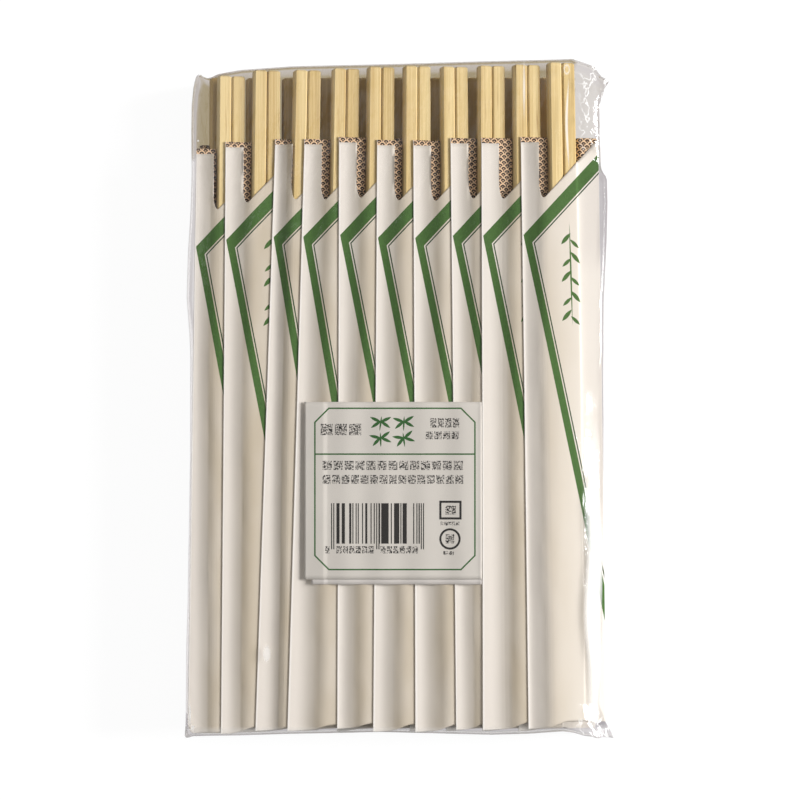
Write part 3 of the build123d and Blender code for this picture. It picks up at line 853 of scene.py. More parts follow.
@dataclass
class ShingledRow:
    """One row of ten sleeved pairs, each rolled so that its flap lies on its left neighbour."""

    name: RowName
    sizes: SleeveSizes
    shift: float
    foot_shift: float
    head_pitches: Sequence[float]
    foot_pitches: Sequence[float]
    head_flaps: Sequence[float]
    foot_flaps: Sequence[float]
    sleeve_slides: Sequence[float]
    stick_slides: Sequence[float]
    last_loose: float = 0.0
    level: float = 0.0
    roll: float = 0.0
    stations: np.ndarray = field(default_factory=lambda: np.array(
        [-HALF_STICK, 0.0, HALF_STICK]))

    @classmethod
    def even(cls, name: RowName, sizes: SleeveSizes, shift: float, flaps: Sequence[float],
             sleeve_slide: float, stick_slide: float) -> "ShingledRow":
        """A row of even pitch in which all slide alike and the first flap is narrower.

        Args:
            name: which row it is.
            sizes: the sizes of all sleeves.
            shift: where the first pair lies, as a share of the pitch.
            flaps: the shares of the first flap and of the nine others.
            sleeve_slide: how far its sleeves lie towards the heads, as a share of the
                slide in the sizes.
            stick_slide: the same for its pairs.

        Returns:
            The row.
        """
        pitches = [1.0] * (PAIRS - 1)
        shares = [flaps[0]] + [flaps[1]] * (PAIRS - 1)
        return cls(name, sizes, shift, 0.0, pitches, pitches, shares, shares,
                   [sleeve_slide] * PAIRS, [stick_slide] * PAIRS)

    def __post_init__(self) -> None:
        """Adds the pitches up from the first pair."""
        pitch = self.sizes.pitch
        self.head = pitch * (self.shift + np.cumsum([0.0, *self.head_pitches]))
        self.foot = pitch * (self.shift + self.foot_shift
                             + np.cumsum([0.0, *self.foot_pitches]))

    def centre(self, index: int, y: np.ndarray) -> np.ndarray:
        """Where the middle of a pair is at a place along the pack."""
        return along(y, self.foot[index], self.head[index])

    def pitch(self, index: int, y: np.ndarray) -> np.ndarray:
        """The distance from a pair to its left neighbour."""
        return self.centre(index, y) - self.centre(index - 1, y)

    def flap(self, index: int, y: np.ndarray) -> np.ndarray:
        """How far a sleeve reaches to the left of its pair's middle."""
        return along(y, self.sizes.flap * self.foot_flaps[index],
                     self.sizes.flap * self.head_flaps[index])

    def left_edge(self, index: int, y: np.ndarray) -> np.ndarray:
        """Where a sleeve's left fold is, before the roll lifts it."""
        return self.centre(index, y) - self.flap(index, y)

    def lap_height(self, y: np.ndarray) -> np.ndarray:
        """How far a flap lies above the middle of the pair that it rests on."""
        return self.sizes.half_height(y) + self.sizes.lap_gap + self.sizes.panel_half

    def steepest(self) -> float:
        """The largest share of lap height to pitch in the row, the sine of its roll."""
        shares = [self.lap_height(self.stations) / self.pitch(index, self.stations)
                  for index in range(1, PAIRS)]
        return float(np.max(shares))

    def flap_level(self, index: int, y: np.ndarray) -> np.ndarray:
        """The height of a sleeve's left flap through its rolled pair."""
        if index == 0:
            return np.zeros_like(y)
        return self.lap_height(y) - self.pitch(index, y) * math.sin(self.roll)

    def tail_level(self, index: int, y: np.ndarray) -> np.ndarray:
        """The height of a sleeve's right tail through its rolled pair."""
        if index == PAIRS - 1:
            return self.sizes.half_height(y) - 2 * self.sizes.bevel - self.sizes.panel_half
        return self.pitch(index + 1, y) * math.sin(self.roll) - self.lap_height(y)

    def slope(self, index: int) -> float:
        """How far the front panel runs sideways for each step up from flap to crest."""
        y = self.stations
        rise = self.sizes.half_height(y) - self.flap_level(index, y) - self.sizes.panel_half
        run = (self.flap(index, y) / math.cos(self.roll) - self.sizes.half_width(y)
               - self.sizes.flap_flat)
        return float(min(self.sizes.slope_share, np.min(run / rise)))

    def outline(self, index: int, y: np.ndarray) -> np.ndarray:
        """The corners of a sleeve's section, clockwise from the top of the left fold.

        Args:
            index: the pair's number from the left, from 0.
            y: places along the pack.

        Returns:
            An array of shape (places, 14, 2): across and up through the rolled pair.
        """
        sizes = self.sizes
        wide, high = sizes.half_width(y), sizes.half_height(y)
        half, bevel = sizes.panel_half, sizes.bevel
        left = self.flap(index, y) / math.cos(self.roll)
        right = (sizes.span - self.flap(index, y)) / math.cos(self.roll)
        flap, tail = self.flap_level(index, y), self.tail_level(index, y)
        flap_run = self.slope(index) * (high - flap - half)
        tail_run = sizes.tail_share * (high + tail - half)
        loose = self.last_loose * (index == PAIRS - 1)
        corners = [(-left, flap + half), (-wide - loose - flap_run, flap + half),
                   (-wide - loose, high),
                   (wide - bevel, high), (wide, high - bevel), (wide, tail + half),
                   (right, tail + half), (right, tail - half),
                   (wide + tail_run, tail - half), (wide, -high), (bevel - wide, -high),
                   (-wide, bevel - high), (-wide, flap - half), (-left, flap - half)]
        return np.stack([np.stack(np.broadcast_arrays(*corner), axis=-1)
                         for corner in corners], axis=-2)

    def place(self, index: int, across: np.ndarray, up: np.ndarray,
              y: np.ndarray) -> np.ndarray:
        """Turns a place in a rolled pair's section into the maker's frame.

        Args:
            index: the pair's number.
            across: distance across the rolled pair.
            up: height through the rolled pair.
            y: place along the pack.

        Returns:
            Points, with three numbers each.
        """
        x = self.centre(index, y) + across * math.cos(self.roll) + up * math.sin(self.roll)
        z = self.level - across * math.sin(self.roll) + up * math.cos(self.roll)
        return np.stack(np.broadcast_arrays(x, y, z), axis=-1)


@dataclass(frozen=True)
class Placement:
    """Where the maker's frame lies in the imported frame, in millimetres."""

    x: float
    y: float

    def pack(self, points: np.ndarray) -> np.ndarray:
        """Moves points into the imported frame. Heights are already its own."""
        return points + np.array([self.x, self.y, 0.0])


@dataclass
class PaperSleeve:
    """A sleeve as one folded sheet: flap, long slope, crest, tail and the panel behind.

    For each corner of the section there is the reach of its bend, in radii, and the number
    of points on the side that follows it, in side_steps. The columns added at the notch
    are shares of its width and of its bottom's radius. Each wave of the paper has a share
    of the height, a length, a share of the phase and a slant. Lengths are millimetres.
    """

    row: ShingledRow
    index: int
    placement: Placement
    body_rows: int = 56
    mouth_rows: int = 11
    low_rows: tuple = (0.0, 0.12, 0.35, 0.7, 1.1, 1.5, 1.9)
    side_steps: tuple = (4, 12, 9, 1, 3, 12, 0, 8, 2, 8, 1, 3, 8, 0)
    radii: tuple = (0.16, 2.6, 1.5, 0.5, 0.6, 1.3, 0.16, 0.16, 0.8, 0.8, 0.6, 0.6, 0.8, 0.16)
    bend_steps: int = 5
    closing: float = 0.7
    foot_gap: float = 0.3
    foot_slit: float = 0.3
    foot_rise: float = 1.8
    foot_ease: tuple = (-4.5, 7.5)
    foot_corner: tuple = (2.0, 4.0)
    foot_trim: float = 0.0
    head_trim: float = 0.0
    notch_end: tuple = (1.37, 5.0)
    notch_columns: tuple = (0.004, 0.03, 0.08, 0.17, 0.3, 0.5, 0.75, 1.0)
    notch_bottom: float = 0.8
    bottom_columns: tuple = (0.36, 0.71)
    mouth_climb: float = 1.08
    below_notch: float = 2.5
    paper: float = 0.13
    wave: float = 0.10
    waves: tuple = ((1.0, 11.0, 1.0, 0.0), (0.6, 5.3, 2.3, 0.0), (0.35, 2.2, 3.1, 2.0))
    slope_place: tuple = (1.5, 0.8)
    # Where, in walk numbers round the section, and how strongly the paper takes the wood tint and
    # painted shade over its pair.
    wood_and_shade_place: tuple = (2.2, 1.5)
    wood_and_shade_strength: float = 1.0
    fold_back: float = 0.0
    fold_from: float = 3.2
    fold_lean: float = 0.217
    fold_width: float = 2.6
    fold_length: float = 12.5

    @property
    def foot(self) -> float:
        """Where the sheet begins along the pack."""
        sizes = self.row.sizes
        return -HALF_STICK - sizes.foot_room + sizes.slide * self.row.sleeve_slides[self.index]

    @property
    def top(self) -> float:
        """Where the panel behind ends along the pack."""
        return self.foot + self.row.sizes.length - self.head_trim

    def rounded(self, corners: np.ndarray) -> tuple[np.ndarray, np.ndarray]:
        """Rounds a section's corners, each with a quadratic curve pulled to the corner.

        Args:
            corners: an array of shape (places, corners, 2).

        Returns:
            The points of each section, and their walk numbers: the corner's number at each
            corner, a quarter either side of it along its bend.
        """
        before = np.roll(corners, 1, axis=-2)
        after = np.roll(corners, -1, axis=-2)
        reach = np.array(self.radii)[:, None]
        into = np.linalg.norm(before - corners, axis=-1, keepdims=True)
        out = np.linalg.norm(after - corners, axis=-1, keepdims=True)
        start = corners + (before - corners) / into * np.minimum(reach, 0.47 * into)
        end = corners + (after - corners) / out * np.minimum(reach, 0.47 * out)
        parts, walk = [], []
        turn = np.linspace(0.0, 1.0, self.bend_steps)[:, None]
        for number in range(corners.shape[-2]):
            first, middle, last = (part[:, None, number] for part in (start, corners, end))
            parts.append((1 - turn) ** 2 * first + 2 * turn * (1 - turn) * middle
                         + turn ** 2 * last)
            walk.append(number - 0.25 + 0.5 * turn[:, 0])
            steps = self.side_steps[number]
            share = (np.arange(1, steps + 1) / (steps + 1))[:, None]
            following = start[:, None, (number + 1) % corners.shape[-2]]
            parts.append(last + (following - last) * share)
            walk.append(number + 0.25 + 0.5 * share[:, 0])
        return np.concatenate(parts, axis=1), np.concatenate(walk)

    def mouth(self, away: np.ndarray) -> np.ndarray:
        """The front panel's upper edge over the distance from the left fold.

        It is level over the tab, falls down the notch's straight side, turns in through a
        quarter of a tall ellipse and an eighth of a circle, and climbs at just over 45
        degrees.

        Args:
            away: the distance of each column from the left fold.

        Returns:
            The place along the pack where each column ends.
        """
        sizes = self.row.sizes
        tab_top = self.top - sizes.back_rise
        past = away - sizes.tab_width
        wide, tall = self.notch_end
        radius = self.notch_bottom
        low = tab_top - sizes.notch_depth
        side = low + tall - tall * rounding(past / wide)
        run = np.clip(past - wide, 0.0, math.sqrt(0.5) * radius)
        bottom = low + radius - np.sqrt(radius ** 2 - run ** 2)
        climb = self.mouth_climb * np.maximum(past - wide - math.sqrt(0.5) * radius, 0.0)
        edge = np.where(past <= 0.0, tab_top, np.where(past < wide, side, bottom + climb))
        return np.minimum(edge, self.top)

    def columns(self, fine: np.ndarray, walk: np.ndarray) -> tuple[np.ndarray, np.ndarray]:
        """The sheet's columns as walk numbers round the section, closer at the notch.

        Args:
            fine: the rounded sections at the foot, middle and head.
            walk: the walk numbers of their points.

        Returns:
            The columns, and how far each lies from the left fold halfway up the notch.
        """
        row, sizes = self.row, self.row.sizes
        near_mouth = self.top - sizes.back_rise - sizes.notch_depth / 2
        share = near_mouth / HALF_STICK
        across = (1 - share) * fine[1] + share * fine[2]
        reach = row.place(self.index, across[:, 0], across[:, 1], near_mouth)[:, 0]
        reach = reach - reach[(walk >= -0.3) & (walk < 0.3)].min()
        rising = (walk >= 0.0) & (walk < 3.2)
        wide, radius = self.notch_end[0], self.notch_bottom
        wanted = sizes.tab_width + np.concatenate([
            [-0.02], wide * np.array(self.notch_columns),
            wide + radius * np.array(self.bottom_columns)])
        extra = np.interp(wanted, reach[rising], walk[rising])
        columns = np.sort(np.concatenate([walk, extra]))
        return columns, np.interp(columns, walk, reach)

    def starts(self, across: np.ndarray) -> np.ndarray:
        """Where each column begins at the foot.

        The sheet is drawn up where the pair swells it, as far as the pair leaves room. A
        trimmed sleeve has a rounded lower left corner.
        """
        sizes, row = self.row.sizes, self.row
        past = across + sizes.half_width(-HALF_STICK)
        slid = row.stick_slides[self.index] - row.sleeve_slides[self.index]
        room = max(sizes.foot_room + sizes.slide * slid - self.foot_gap, 0.3)
        rise = min(room - self.foot_trim, self.foot_rise)
        starts = self.foot + self.foot_trim + rise * eased(past, *self.foot_ease)
        if self.foot_trim:
            wide, tall = self.foot_corner
            starts = starts + tall * (1.0 - rounding((across - across.min()) / wide))
        return starts

    def lengthwise(self, starts: np.ndarray, ends: np.ndarray) -> np.ndarray:
        """The place along the pack of each point, by row and column.

        Rows are close at the foot and even up to just below the notch. From there they are
        stretched to the mouth's edge.
        """
        sizes = self.row.sizes
        split = self.top - sizes.back_rise - sizes.notch_depth - self.below_notch
        low = np.array(self.low_rows) / (split - self.foot)
        body = np.linspace(low[-1], 1.0, self.body_rows)[1:]
        mouth = np.linspace(0.0, 1.0, self.mouth_rows + 1)[1:]
        low_part = starts + np.concatenate([low, body])[:, None] * (split - starts)
        high_part = split + mouth[:, None] * (ends - split)
        return np.concatenate([low_part, high_part])

    def sunk(self, section: np.ndarray, front: np.ndarray, closed: np.ndarray) -> np.ndarray:
        """How far the front panel sinks to the panel behind it where the foot is closed.

        It sinks as a quarter of an ellipse, all but the slit that stays.
        """
        across, up = section[:, 0], section[:, 1]
        order = np.argsort(across[~front])
        behind = np.interp(across, across[~front][order], up[~front][order])
        lift = np.where(front, up - behind, 0.0)
        share = 1.0 - self.foot_slit / np.maximum(lift, self.foot_slit)
        return lift * (1.0 - rounding(closed)) * share

    def ripple(self, y: np.ndarray, columns: np.ndarray, front: np.ndarray) -> np.ndarray:
        """The paper's waves on the long slope, a sum of sines that differs by sleeve."""
        slope = near(columns, *self.slope_place) * front
        phase = 2.1 * self.index
        waves = sum(share * np.sin(y / length + turn * phase + slant * columns)
                    for share, length, turn, slant in self.waves)
        return self.wave * smooth_step(slope) * waves

    def bent_back(self, y: np.ndarray, away: np.ndarray, end: float) -> np.ndarray:
        """How far the flap's upper part stands up beside its slanted crease."""
        past = away - self.fold_from - self.fold_lean * (end - y)
        return self.fold_back * np.clip(past, 0.0, self.fold_width) * (
            y > end - self.fold_length)

    def build(self, finishes: Sequence[bpy.types.Material]) -> bpy.types.Object:
        """Builds the sleeve.

        The section is known at the foot, middle and head, and runs straight between them.

        Args:
            finishes: the outer print, the inner lining and the cut edge.

        Returns:
            The sleeve's object.
        """
        row = self.row
        fine, walk = self.rounded(row.outline(self.index, row.stations))
        columns, away = self.columns(fine, walk)
        sections = np.stack([np.stack([np.interp(columns, walk, fine[place, :, axis])
                                       for axis in range(2)], axis=-1)
                             for place in range(3)])
        front = (columns >= -0.01) & (columns <= 6.01)
        ends = np.where(front, self.mouth(away), self.top)
        starts = self.starts(sections[0, :, 0])
        y = self.lengthwise(starts, ends)
        toward = np.clip(np.abs(y) / HALF_STICK, 0.0, 1.02)[..., None]
        tip = np.where((y < 0)[..., None], sections[0], sections[2])
        section = sections[1] + (tip - sections[1]) * toward
        closed = np.clip((y - starts) / self.closing, 0.0, 1.0)
        up = section[..., 1] - self.sunk(sections[0], front, closed)
        up = up + self.ripple(y, columns, front) * closed
        up = up + self.bent_back(y, away, ends[0]) * front
        points = row.place(self.index, section[..., 0], up, y)
        left = row.left_edge(self.index, y) - 0.5
        uv = np.stack([points[..., 0] - left, y - (self.top - row.sizes.back_rise)], axis=-1)
        # Wood tint and painted shade over the pair's slope and crest, on the front panel only.
        wood_and_shade = near(columns, *self.wood_and_shade_place) * front * self.wood_and_shade_strength
        marks = {"front": np.broadcast_to(front, y.shape).astype(float),
                 "over_pair": np.broadcast_to(smooth_step(wood_and_shade * 1.4), y.shape)}
        name = f"paper_sleeve_{row.name.value}_{self.index + 1:02d}"
        quads = grid_quads(y.shape[0], y.shape[1], around=True)
        sleeve = make_piece(name, self.placement.pack(points), quads, finishes,
                            uv, marks)
        give_wall(sleeve, self.paper, rim=2, inside=1)
        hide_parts(f"{row.name.value}_sleeve_{self.index + 1:02d}")
        return sleeve


@dataclass
class LabelCard:
    """One card folded in two: a hidden leaf, a fold at the right and the printed leaf."""

    row: ShingledRow
    placement: Placement
    width: float = 56.6
    height: float = 56.6
    top: float = -2.2
    paper: float = 0.09
    corner_bend: float = 0.06
    inset: float = 2.2
    drop: float = 1.6
    sag: float = 0.25
    first: int = 3
    last: int = 8
    columns: int = 90
    turn_columns: int = 7
    rows: int = 40

    def crests(self) -> list[float]:
        """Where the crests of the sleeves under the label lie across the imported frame."""
        middle = self.top - self.height / 2
        crests = []
        for index in range(self.first, self.last):
            corner = self.row.outline(index, np.array([middle]))[0, 2]
            crests.append(self.row.place(index, corner[0], corner[1], middle)[0]
                          + self.placement.x)
        return crests

    def profile(self, left: float, right: float, base: float,
                peak: float) -> tuple[np.ndarray, np.ndarray]:
        """The card's section as a walk over both leaves.

        It runs along the hidden leaf to the right, round a half circle at the fold and back
        along the printed leaf. Its height dips between the crests of the sleeves under it
        as a cosine of the way from crest to crest.

        Args:
            left: where the printed leaf's left edge is.
            right: where the fold is.
            base: the hidden leaf's height.
            peak: the printed leaf's height.

        Returns:
            The places across and the heights along the walk.
        """
        radius = (peak - base) / 2
        across = np.linspace(0.0, 1.0, self.columns)
        turn = np.linspace(-math.pi / 2, math.pi / 2, self.turn_columns + 2)[1:-1]
        back_x = left + self.inset + (right - radius - left - self.inset) * across
        front_x = right - radius + (left - right + radius) * across
        x = np.concatenate([back_x, right - radius + radius * np.cos(turn), front_x])
        z = np.concatenate([np.full(self.columns, base), base + radius + radius * np.sin(turn),
                            np.full(self.columns, peak)])
        crests = self.crests()
        steps = np.interp(x, [left, *crests, right], np.arange(len(crests) + 2) - 0.5)
        steps = np.where(x < crests[0], 0.5 * (x - left) / (crests[0] - left), steps + 0.5)
        return x, z - self.sag * (0.5 - 0.5 * np.cos(2 * math.pi * (steps - 0.5)))

    def build(self, finishes: Sequence[bpy.types.Material]) -> bpy.types.Object:
        """Builds the label.

        The hidden leaf reaches lower than the printed one. The printed leaf's corners bend
        down a little with the fourth power of the distance from its middle.

        Args:
            finishes: the printed face and the plain inner side.

        Returns:
            The label's object.
        """
        low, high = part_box("label_card")
        right = high[0] / MILLIMETRE
        left = right - self.width
        x, z = self.profile(left, right, low[2] / MILLIMETRE + self.sag, high[2] / MILLIMETRE)
        lower = np.concatenate([np.full(self.columns, -self.drop),
                                np.linspace(-self.drop, 0.0, self.turn_columns),
                                np.zeros(self.columns)])
        along_card = np.linspace(0.0, 1.0, self.rows)[:, None]
        top = self.top + self.placement.y
        y = top - self.height + lower + self.height * along_card
        printed_from = self.columns + self.turn_columns // 2
        printed = np.arange(len(x)) >= printed_from
        reach = (np.abs(2 * (x - left) / self.width - 1) * np.abs(2 * along_card - 1)) ** 4
        z = z - self.corner_bend * printed * reach
        points = np.stack(np.broadcast_arrays(x, y, z), axis=-1)
        uv = np.stack([points[..., 0] - left, points[..., 1] - (top - self.height)], axis=-1)
        quads = grid_quads(self.rows, len(x), around=False)
        card = make_piece("folded_label", points, quads[:, ::-1], finishes, uv)
        order = np.tile(np.arange(len(x) - 1), self.rows - 1)
        slots = np.where(order >= printed_from, 0, 1).astype(np.int32)
        card.data.polygons.foreach_set("material_index", slots)
        give_wall(card, self.paper)
        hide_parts("label_card")
        return card


@dataclass
class FilmBag:
    """The clear bag: one closed skin, flat under the rows and pinched at both ends.

    Its outline is given in the maker's frame: its left and right at places along the pack,
    and its foot and head at places across it. Across, the skin runs from the flat underside
    round each side to the shoulders and a level top. A place of a mark is given as a start
    with its soft width, where a width under 0 counts from above.
    """

    placement: Placement
    height: float
    left_places: tuple = (-111.0, -109.4, -107.1, -103.6, -79.3, -66.3, -17.8, 16.2, 23.6,
                          35.6, 50.2, 63.1, 74.5, 89.0, 97.1, 100.7, 103.9)
    left_line: tuple = (-14.0, -14.6, -14.4, -14.3, -14.1, -13.7, -12.9, -12.8, -13.1, -14.0,
                        -13.6, -12.8, -12.4, -12.5, -12.4, -11.9, -10.7)
    right_places: tuple = (-111.0, -108.4, -105.5, -100.3, -95.5, -79.3, -8.1, 21.1, 30.8,
                           50.2, 63.1, 70.6, 73.5, 76.1, 84.2, 92.3, 95.5, 98.8, 102.0)
    right_line: tuple = (123.2, 122.0, 120.1, 119.2, 119.0, 119.4, 119.6, 119.3, 119.4,
                         120.3, 120.6, 120.4, 118.5, 118.4, 118.1, 118.0, 118.5, 119.4, 120.9)
    foot_places: tuple = (-14.8, -13.8, -11.9, -5.7, 2.4, 18.6, 34.7, 47.7, 60.6, 72.0, 83.3,
                          96.3, 106.0, 109.5, 113.4, 115.7, 117.5, 118.9, 121.5, 123.3)
    foot_line: tuple = (-110.2, -110.2, -109.6, -109.4, -109.3, -108.8, -108.5, -108.2,
                        -108.5, -108.8, -109.1, -108.7, -108.0, -108.4, -109.6, -109.9,
                        -110.6, -110.2, -110.5, -111.0)
    head_places: tuple = (-12.8, -11.9, -10.4, -9.0, -7.0, -4.1, 3.0, 19.2, 54.2, 80.1,
                          105.0, 107.3, 109.2, 111.1, 116.3, 117.9, 119.2, 120.0, 121.0)
    head_line: tuple = (96.8, 101.0, 103.8, 102.8, 102.2, 103.5, 104.8, 106.0, 106.8, 107.6,
                        108.2, 108.3, 108.4, 107.8, 106.1, 103.7, 102.2, 102.5, 101.7)
    rows: int = 240
    columns: int = 260
    behind_heads: tuple = ((111.5, -0.6), (76.5, 1.5))
    right_head: tuple = ((110.8, 0.6), (72.0, 2.0))
    left_side: tuple = ((-12.2, -0.4), (20.0, 4.0))
    right_side: tuple = (117.3, 0.5)
    bulge_ends: tuple = ((24.0, 30.0), (74.0, -3.0))
    warm_from: float = 70.0
    foot_shade: tuple = (-104.2, -0.6)
    foot_veil: tuple = (-105.3, -1.6)
    crumpled: tuple = (((110.0, 4.0), (76.0, 6.0)), ((109.0, 4.0), (-102.0, -3.0)),
                       ((-10.5, -1.5), (-103.5, -2.5)))
    right_drops: tuple = (0.24, 0.10)
    drop_blend: tuple = (-20.0, 40.0)
    typical_size: tuple = (130.0, 24.0)
    fine_steps: int = 2400
    smoothing: int = 27
    seal: float = 0.5
    folds: tuple = ((1.0, 1.9, 3.1, 0.0), (1.0, 3.3, -2.3, 1.0), (0.8, 5.2, 1.7, 2.0))

    def section(self, right_drop: float) -> tuple[np.ndarray, np.ndarray]:
        """Across and up shares of the skin's section, walked round from the lower left.

        Args:
            right_drop: how far the right shoulder falls, as a share of the height.

        Returns:
            Shares of the way from left to right, and of the way from bottom to top.
        """
        corners = np.array([(0.02, 0.0), (0.0, 0.12), (0.0, 0.965), (0.057, 1.0),
                            (0.915, 1.0), (0.957, 1.0 - right_drop / 3),
                            (1.0, 1.0 - right_drop), (1.0, 0.12), (0.98, 0.0)])
        closed = np.vstack([corners, corners[:1]])
        steps = np.linalg.norm(np.diff(closed, axis=0) * self.typical_size, axis=1)
        walk = np.concatenate([[0.0], np.cumsum(steps)])
        places = np.linspace(0.0, walk[-1], self.columns, endpoint=False)
        fine = np.linspace(0.0, walk[-1], self.fine_steps, endpoint=False)
        kernel = np.hanning(self.smoothing)
        beyond = self.smoothing // 2
        smoothed = []
        for axis in range(2):
            line = np.interp(fine, walk, closed[:, axis])
            padded = np.concatenate([line[-beyond:], line, line[:beyond]])
            line = np.convolve(padded, kernel / kernel.sum(), mode="valid")
            smoothed.append(np.interp(places, fine, line))
        return smoothed[0], smoothed[1]

    def marks(self, x: np.ndarray, y: np.ndarray, upper: np.ndarray) -> dict[str, np.ndarray]:
        """How much painted shade, warmth, crumple, upper skin and painted pale veil the film has
        at each point.

        Args:
            x: places across in the maker's frame.
            y: places along it.
            upper: 1 on the upper skin, 0 on the lower one.

        Returns:
            The named numbers that the film's finish reads.
        """
        behind_heads = patch(x, y, *self.behind_heads)
        right_head = patch(x, y, *self.right_head)
        left_side = patch(x, y, *self.left_side)
        right_side = eased(x, *self.right_side)
        bulge = right_side * eased(y, *self.bulge_ends[0]) * eased(y, *self.bulge_ends[1])
        foot = eased(y, *self.foot_shade)
        warm = np.clip(behind_heads + 0.5 * right_head, 0.0, 1.0)
        warm = np.where(y < self.warm_from, 0.0, warm)
        # Painted shade in the film's tint: on the lower skin where shade falls under and behind
        # the bag, and a little on the upper skin over the bulge and the right side.
        haze = np.maximum.reduce([behind_heads, 0.45 * right_head, 0.5 * bulge,
                                  0.25 * right_side, 0.3 * left_side, foot])
        haze = np.where(upper > 0.5, np.maximum(0.42 * bulge, 0.2 * right_side), haze)
        crumple = np.maximum.reduce([patch(x, y, *place) for place in self.crumpled])
        # A painted pale veil on the upper skin at the foot: painted light over the dark gaps
        # there.
        veil = 0.2 * eased(y, *self.foot_veil) * upper
        return {"haze": haze, "warm": warm, "crumple": crumple * upper, "upper": upper,
                "veil": veil}

    def build(self, finish: bpy.types.Material) -> bpy.types.Object:
        """Builds the bag.

        Each row of points is the section, scaled between the outline's left and right and
        to the height there, which closes to the seal as an ellipse. Creases are folded
        waves, the greatest distance of several slanting sines from zero, weighted towards
        the ends and the sides. The right shoulder is steeper below the middle than above.

        Args:
            finish: the clear film.

        Returns:
            The bag's object.
        """
        share = 0.5 + 0.5 * np.sin(np.linspace(-1.0, 1.0, self.rows) * math.pi / 2)
        nominal = self.left_places[0] + (self.left_places[-1] - self.left_places[0]) * share
        left = np.interp(nominal, self.left_places, self.left_line)
        right = np.interp(nominal, self.right_places, self.right_line)
        below, above = (self.section(drop) for drop in self.right_drops)
        blend = eased(nominal, *self.drop_blend)[:, None]
        across = below[0] + (above[0] - below[0]) * blend
        up = below[1] + (above[1] - below[1]) * blend
        x = left[:, None] + (right - left)[:, None] * across
        foot = np.interp(x, self.foot_places, self.foot_line)
        head = np.interp(x, self.head_places, self.head_line)
        y = foot + (head - foot) * share[:, None]
        swell = rounding((y - foot - 0.15) / 0.9) * rounding((head - 0.3 - y) / 1.5)
        full = self.seal + (self.height - self.seal) * swell
        z = self.height / 2 + (up - 0.5) * full
        side = np.clip((np.abs(across - 0.5) - 0.40) / 0.10, 0.0, 1.0)
        tips = np.clip((np.abs(y) - 88.0) / 16.0, 0.0, 1.0)
        folds = np.maximum.reduce([share * np.sin(x / wide + y / long + turn)
                                   for share, wide, long, turn in self.folds])
        crease = (folds - 0.6) * (0.3 * tips * side + 0.05 * side + 0.05 * tips)
        upper = (up > 0.55).astype(float)
        z = z + upper * (crease - 0.2) * np.minimum(full / 4, 1.0)
        points = np.stack([x, y, np.clip(z, 0.0, self.height)], axis=-1)
        quads = grid_quads(self.rows, self.columns, around=True)
        bag = make_piece("film_bag", self.placement.pack(points), quads, [finish],
                         marks=self.marks(x, y, upper))
        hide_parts("clear_bag")
        return bag


@dataclass(frozen=True)
class Lamp:
    """A rectangular lamp that faces the pack.

    It hangs in a direction at a distance in metres. It has a width and height in metres,
    and a power in watts.
    """

    name: str
    towards: tuple
    away: float
    size: tuple
    power: float

    def hang(self) -> None:
        """Puts the lamp into the scene."""
        data = bpy.data.lights.new(self.name, "AREA")
        data.shape = "RECTANGLE"
        data.size, data.size_y = self.size
        data.energy = self.power
        lamp = bpy.data.objects.new(self.name, data)
        direction = np.array(self.towards) / np.linalg.norm(self.towards)
        lamp.location = tuple(direction * self.away)
        lamp.rotation_mode = "QUATERNION"
        lamp.rotation_quaternion = lamp.location.to_track_quat("Z", "Y")
        bpy.context.scene.collection.objects.link(lamp)


@dataclass
class Studio:
    """A pale floor, soft lamps and a camera that looks straight down at the pack."""

    aim: np.ndarray
    view_width: float = 256.4
    distance: float = 750.0
    sensor: float = 36.0
    clip: tuple = (0.01, 20.0)
    floor_half: float = 6000.0
    floor_level: float = -0.1
    surroundings: float = 0.25
    lamps: tuple = (Lamp("key_lamp", (1.0, 0.14, 0.50), 2.2, (0.8, 1.0), 80.0),
                    Lamp("top_lamp", (-0.15, 0.5, 1.0), 1.8, (1.2, 1.2), 3.0),
                    Lamp("fill_lamp", (-1.0, 0.1, 0.35), 2.2, (1.0, 1.0), 6.5))

    def floor(self) -> None:
        """Lays the floor just under the pack."""
        corners = ((-1, -1), (1, -1), (1, 1), (-1, 1))
        points = np.array([(*np.array(corner) * self.floor_half, self.floor_level)
                           for corner in corners])
        mesh = bpy.data.meshes.new("floor")
        mesh.from_pydata(points * MILLIMETRE, [], [(0, 1, 2, 3)])
        mesh.materials.append(PaleFloor().make())
        floor = bpy.data.objects.new("floor", mesh)
        bpy.context.scene.collection.objects.link(floor)

    def camera(self) -> None:
        """Sets the camera over the middle of the photograph's frame."""
        data = bpy.data.cameras.new("camera")
        data.sensor_width = self.sensor
        data.lens = self.sensor * self.distance / self.view_width
        data.clip_start, data.clip_end = self.clip
        camera = bpy.data.objects.new("camera", data)
        spot = (self.aim + np.array([0.0, 0.0, self.distance])) * MILLIMETRE
        camera.location = tuple(spot)
        bpy.context.scene.collection.objects.link(camera)
        bpy.context.scene.camera = camera

    def build(self) -> None:
        """Sets the floor, the lamps, the surroundings and the camera."""
        scene = bpy.context.scene
        scene.view_settings.view_transform = "Standard"
        world = scene.world or bpy.data.worlds.new("surroundings")
        scene.world = world
        world.use_nodes = True
        background = world.node_tree.nodes["Background"]
        background.inputs["Color"].default_value = (1.0, 1.0, 1.0, 1.0)
        background.inputs["Strength"].default_value = self.surroundings
        for lamp in self.lamps:
            lamp.hang()
        self.floor()
        self.camera()


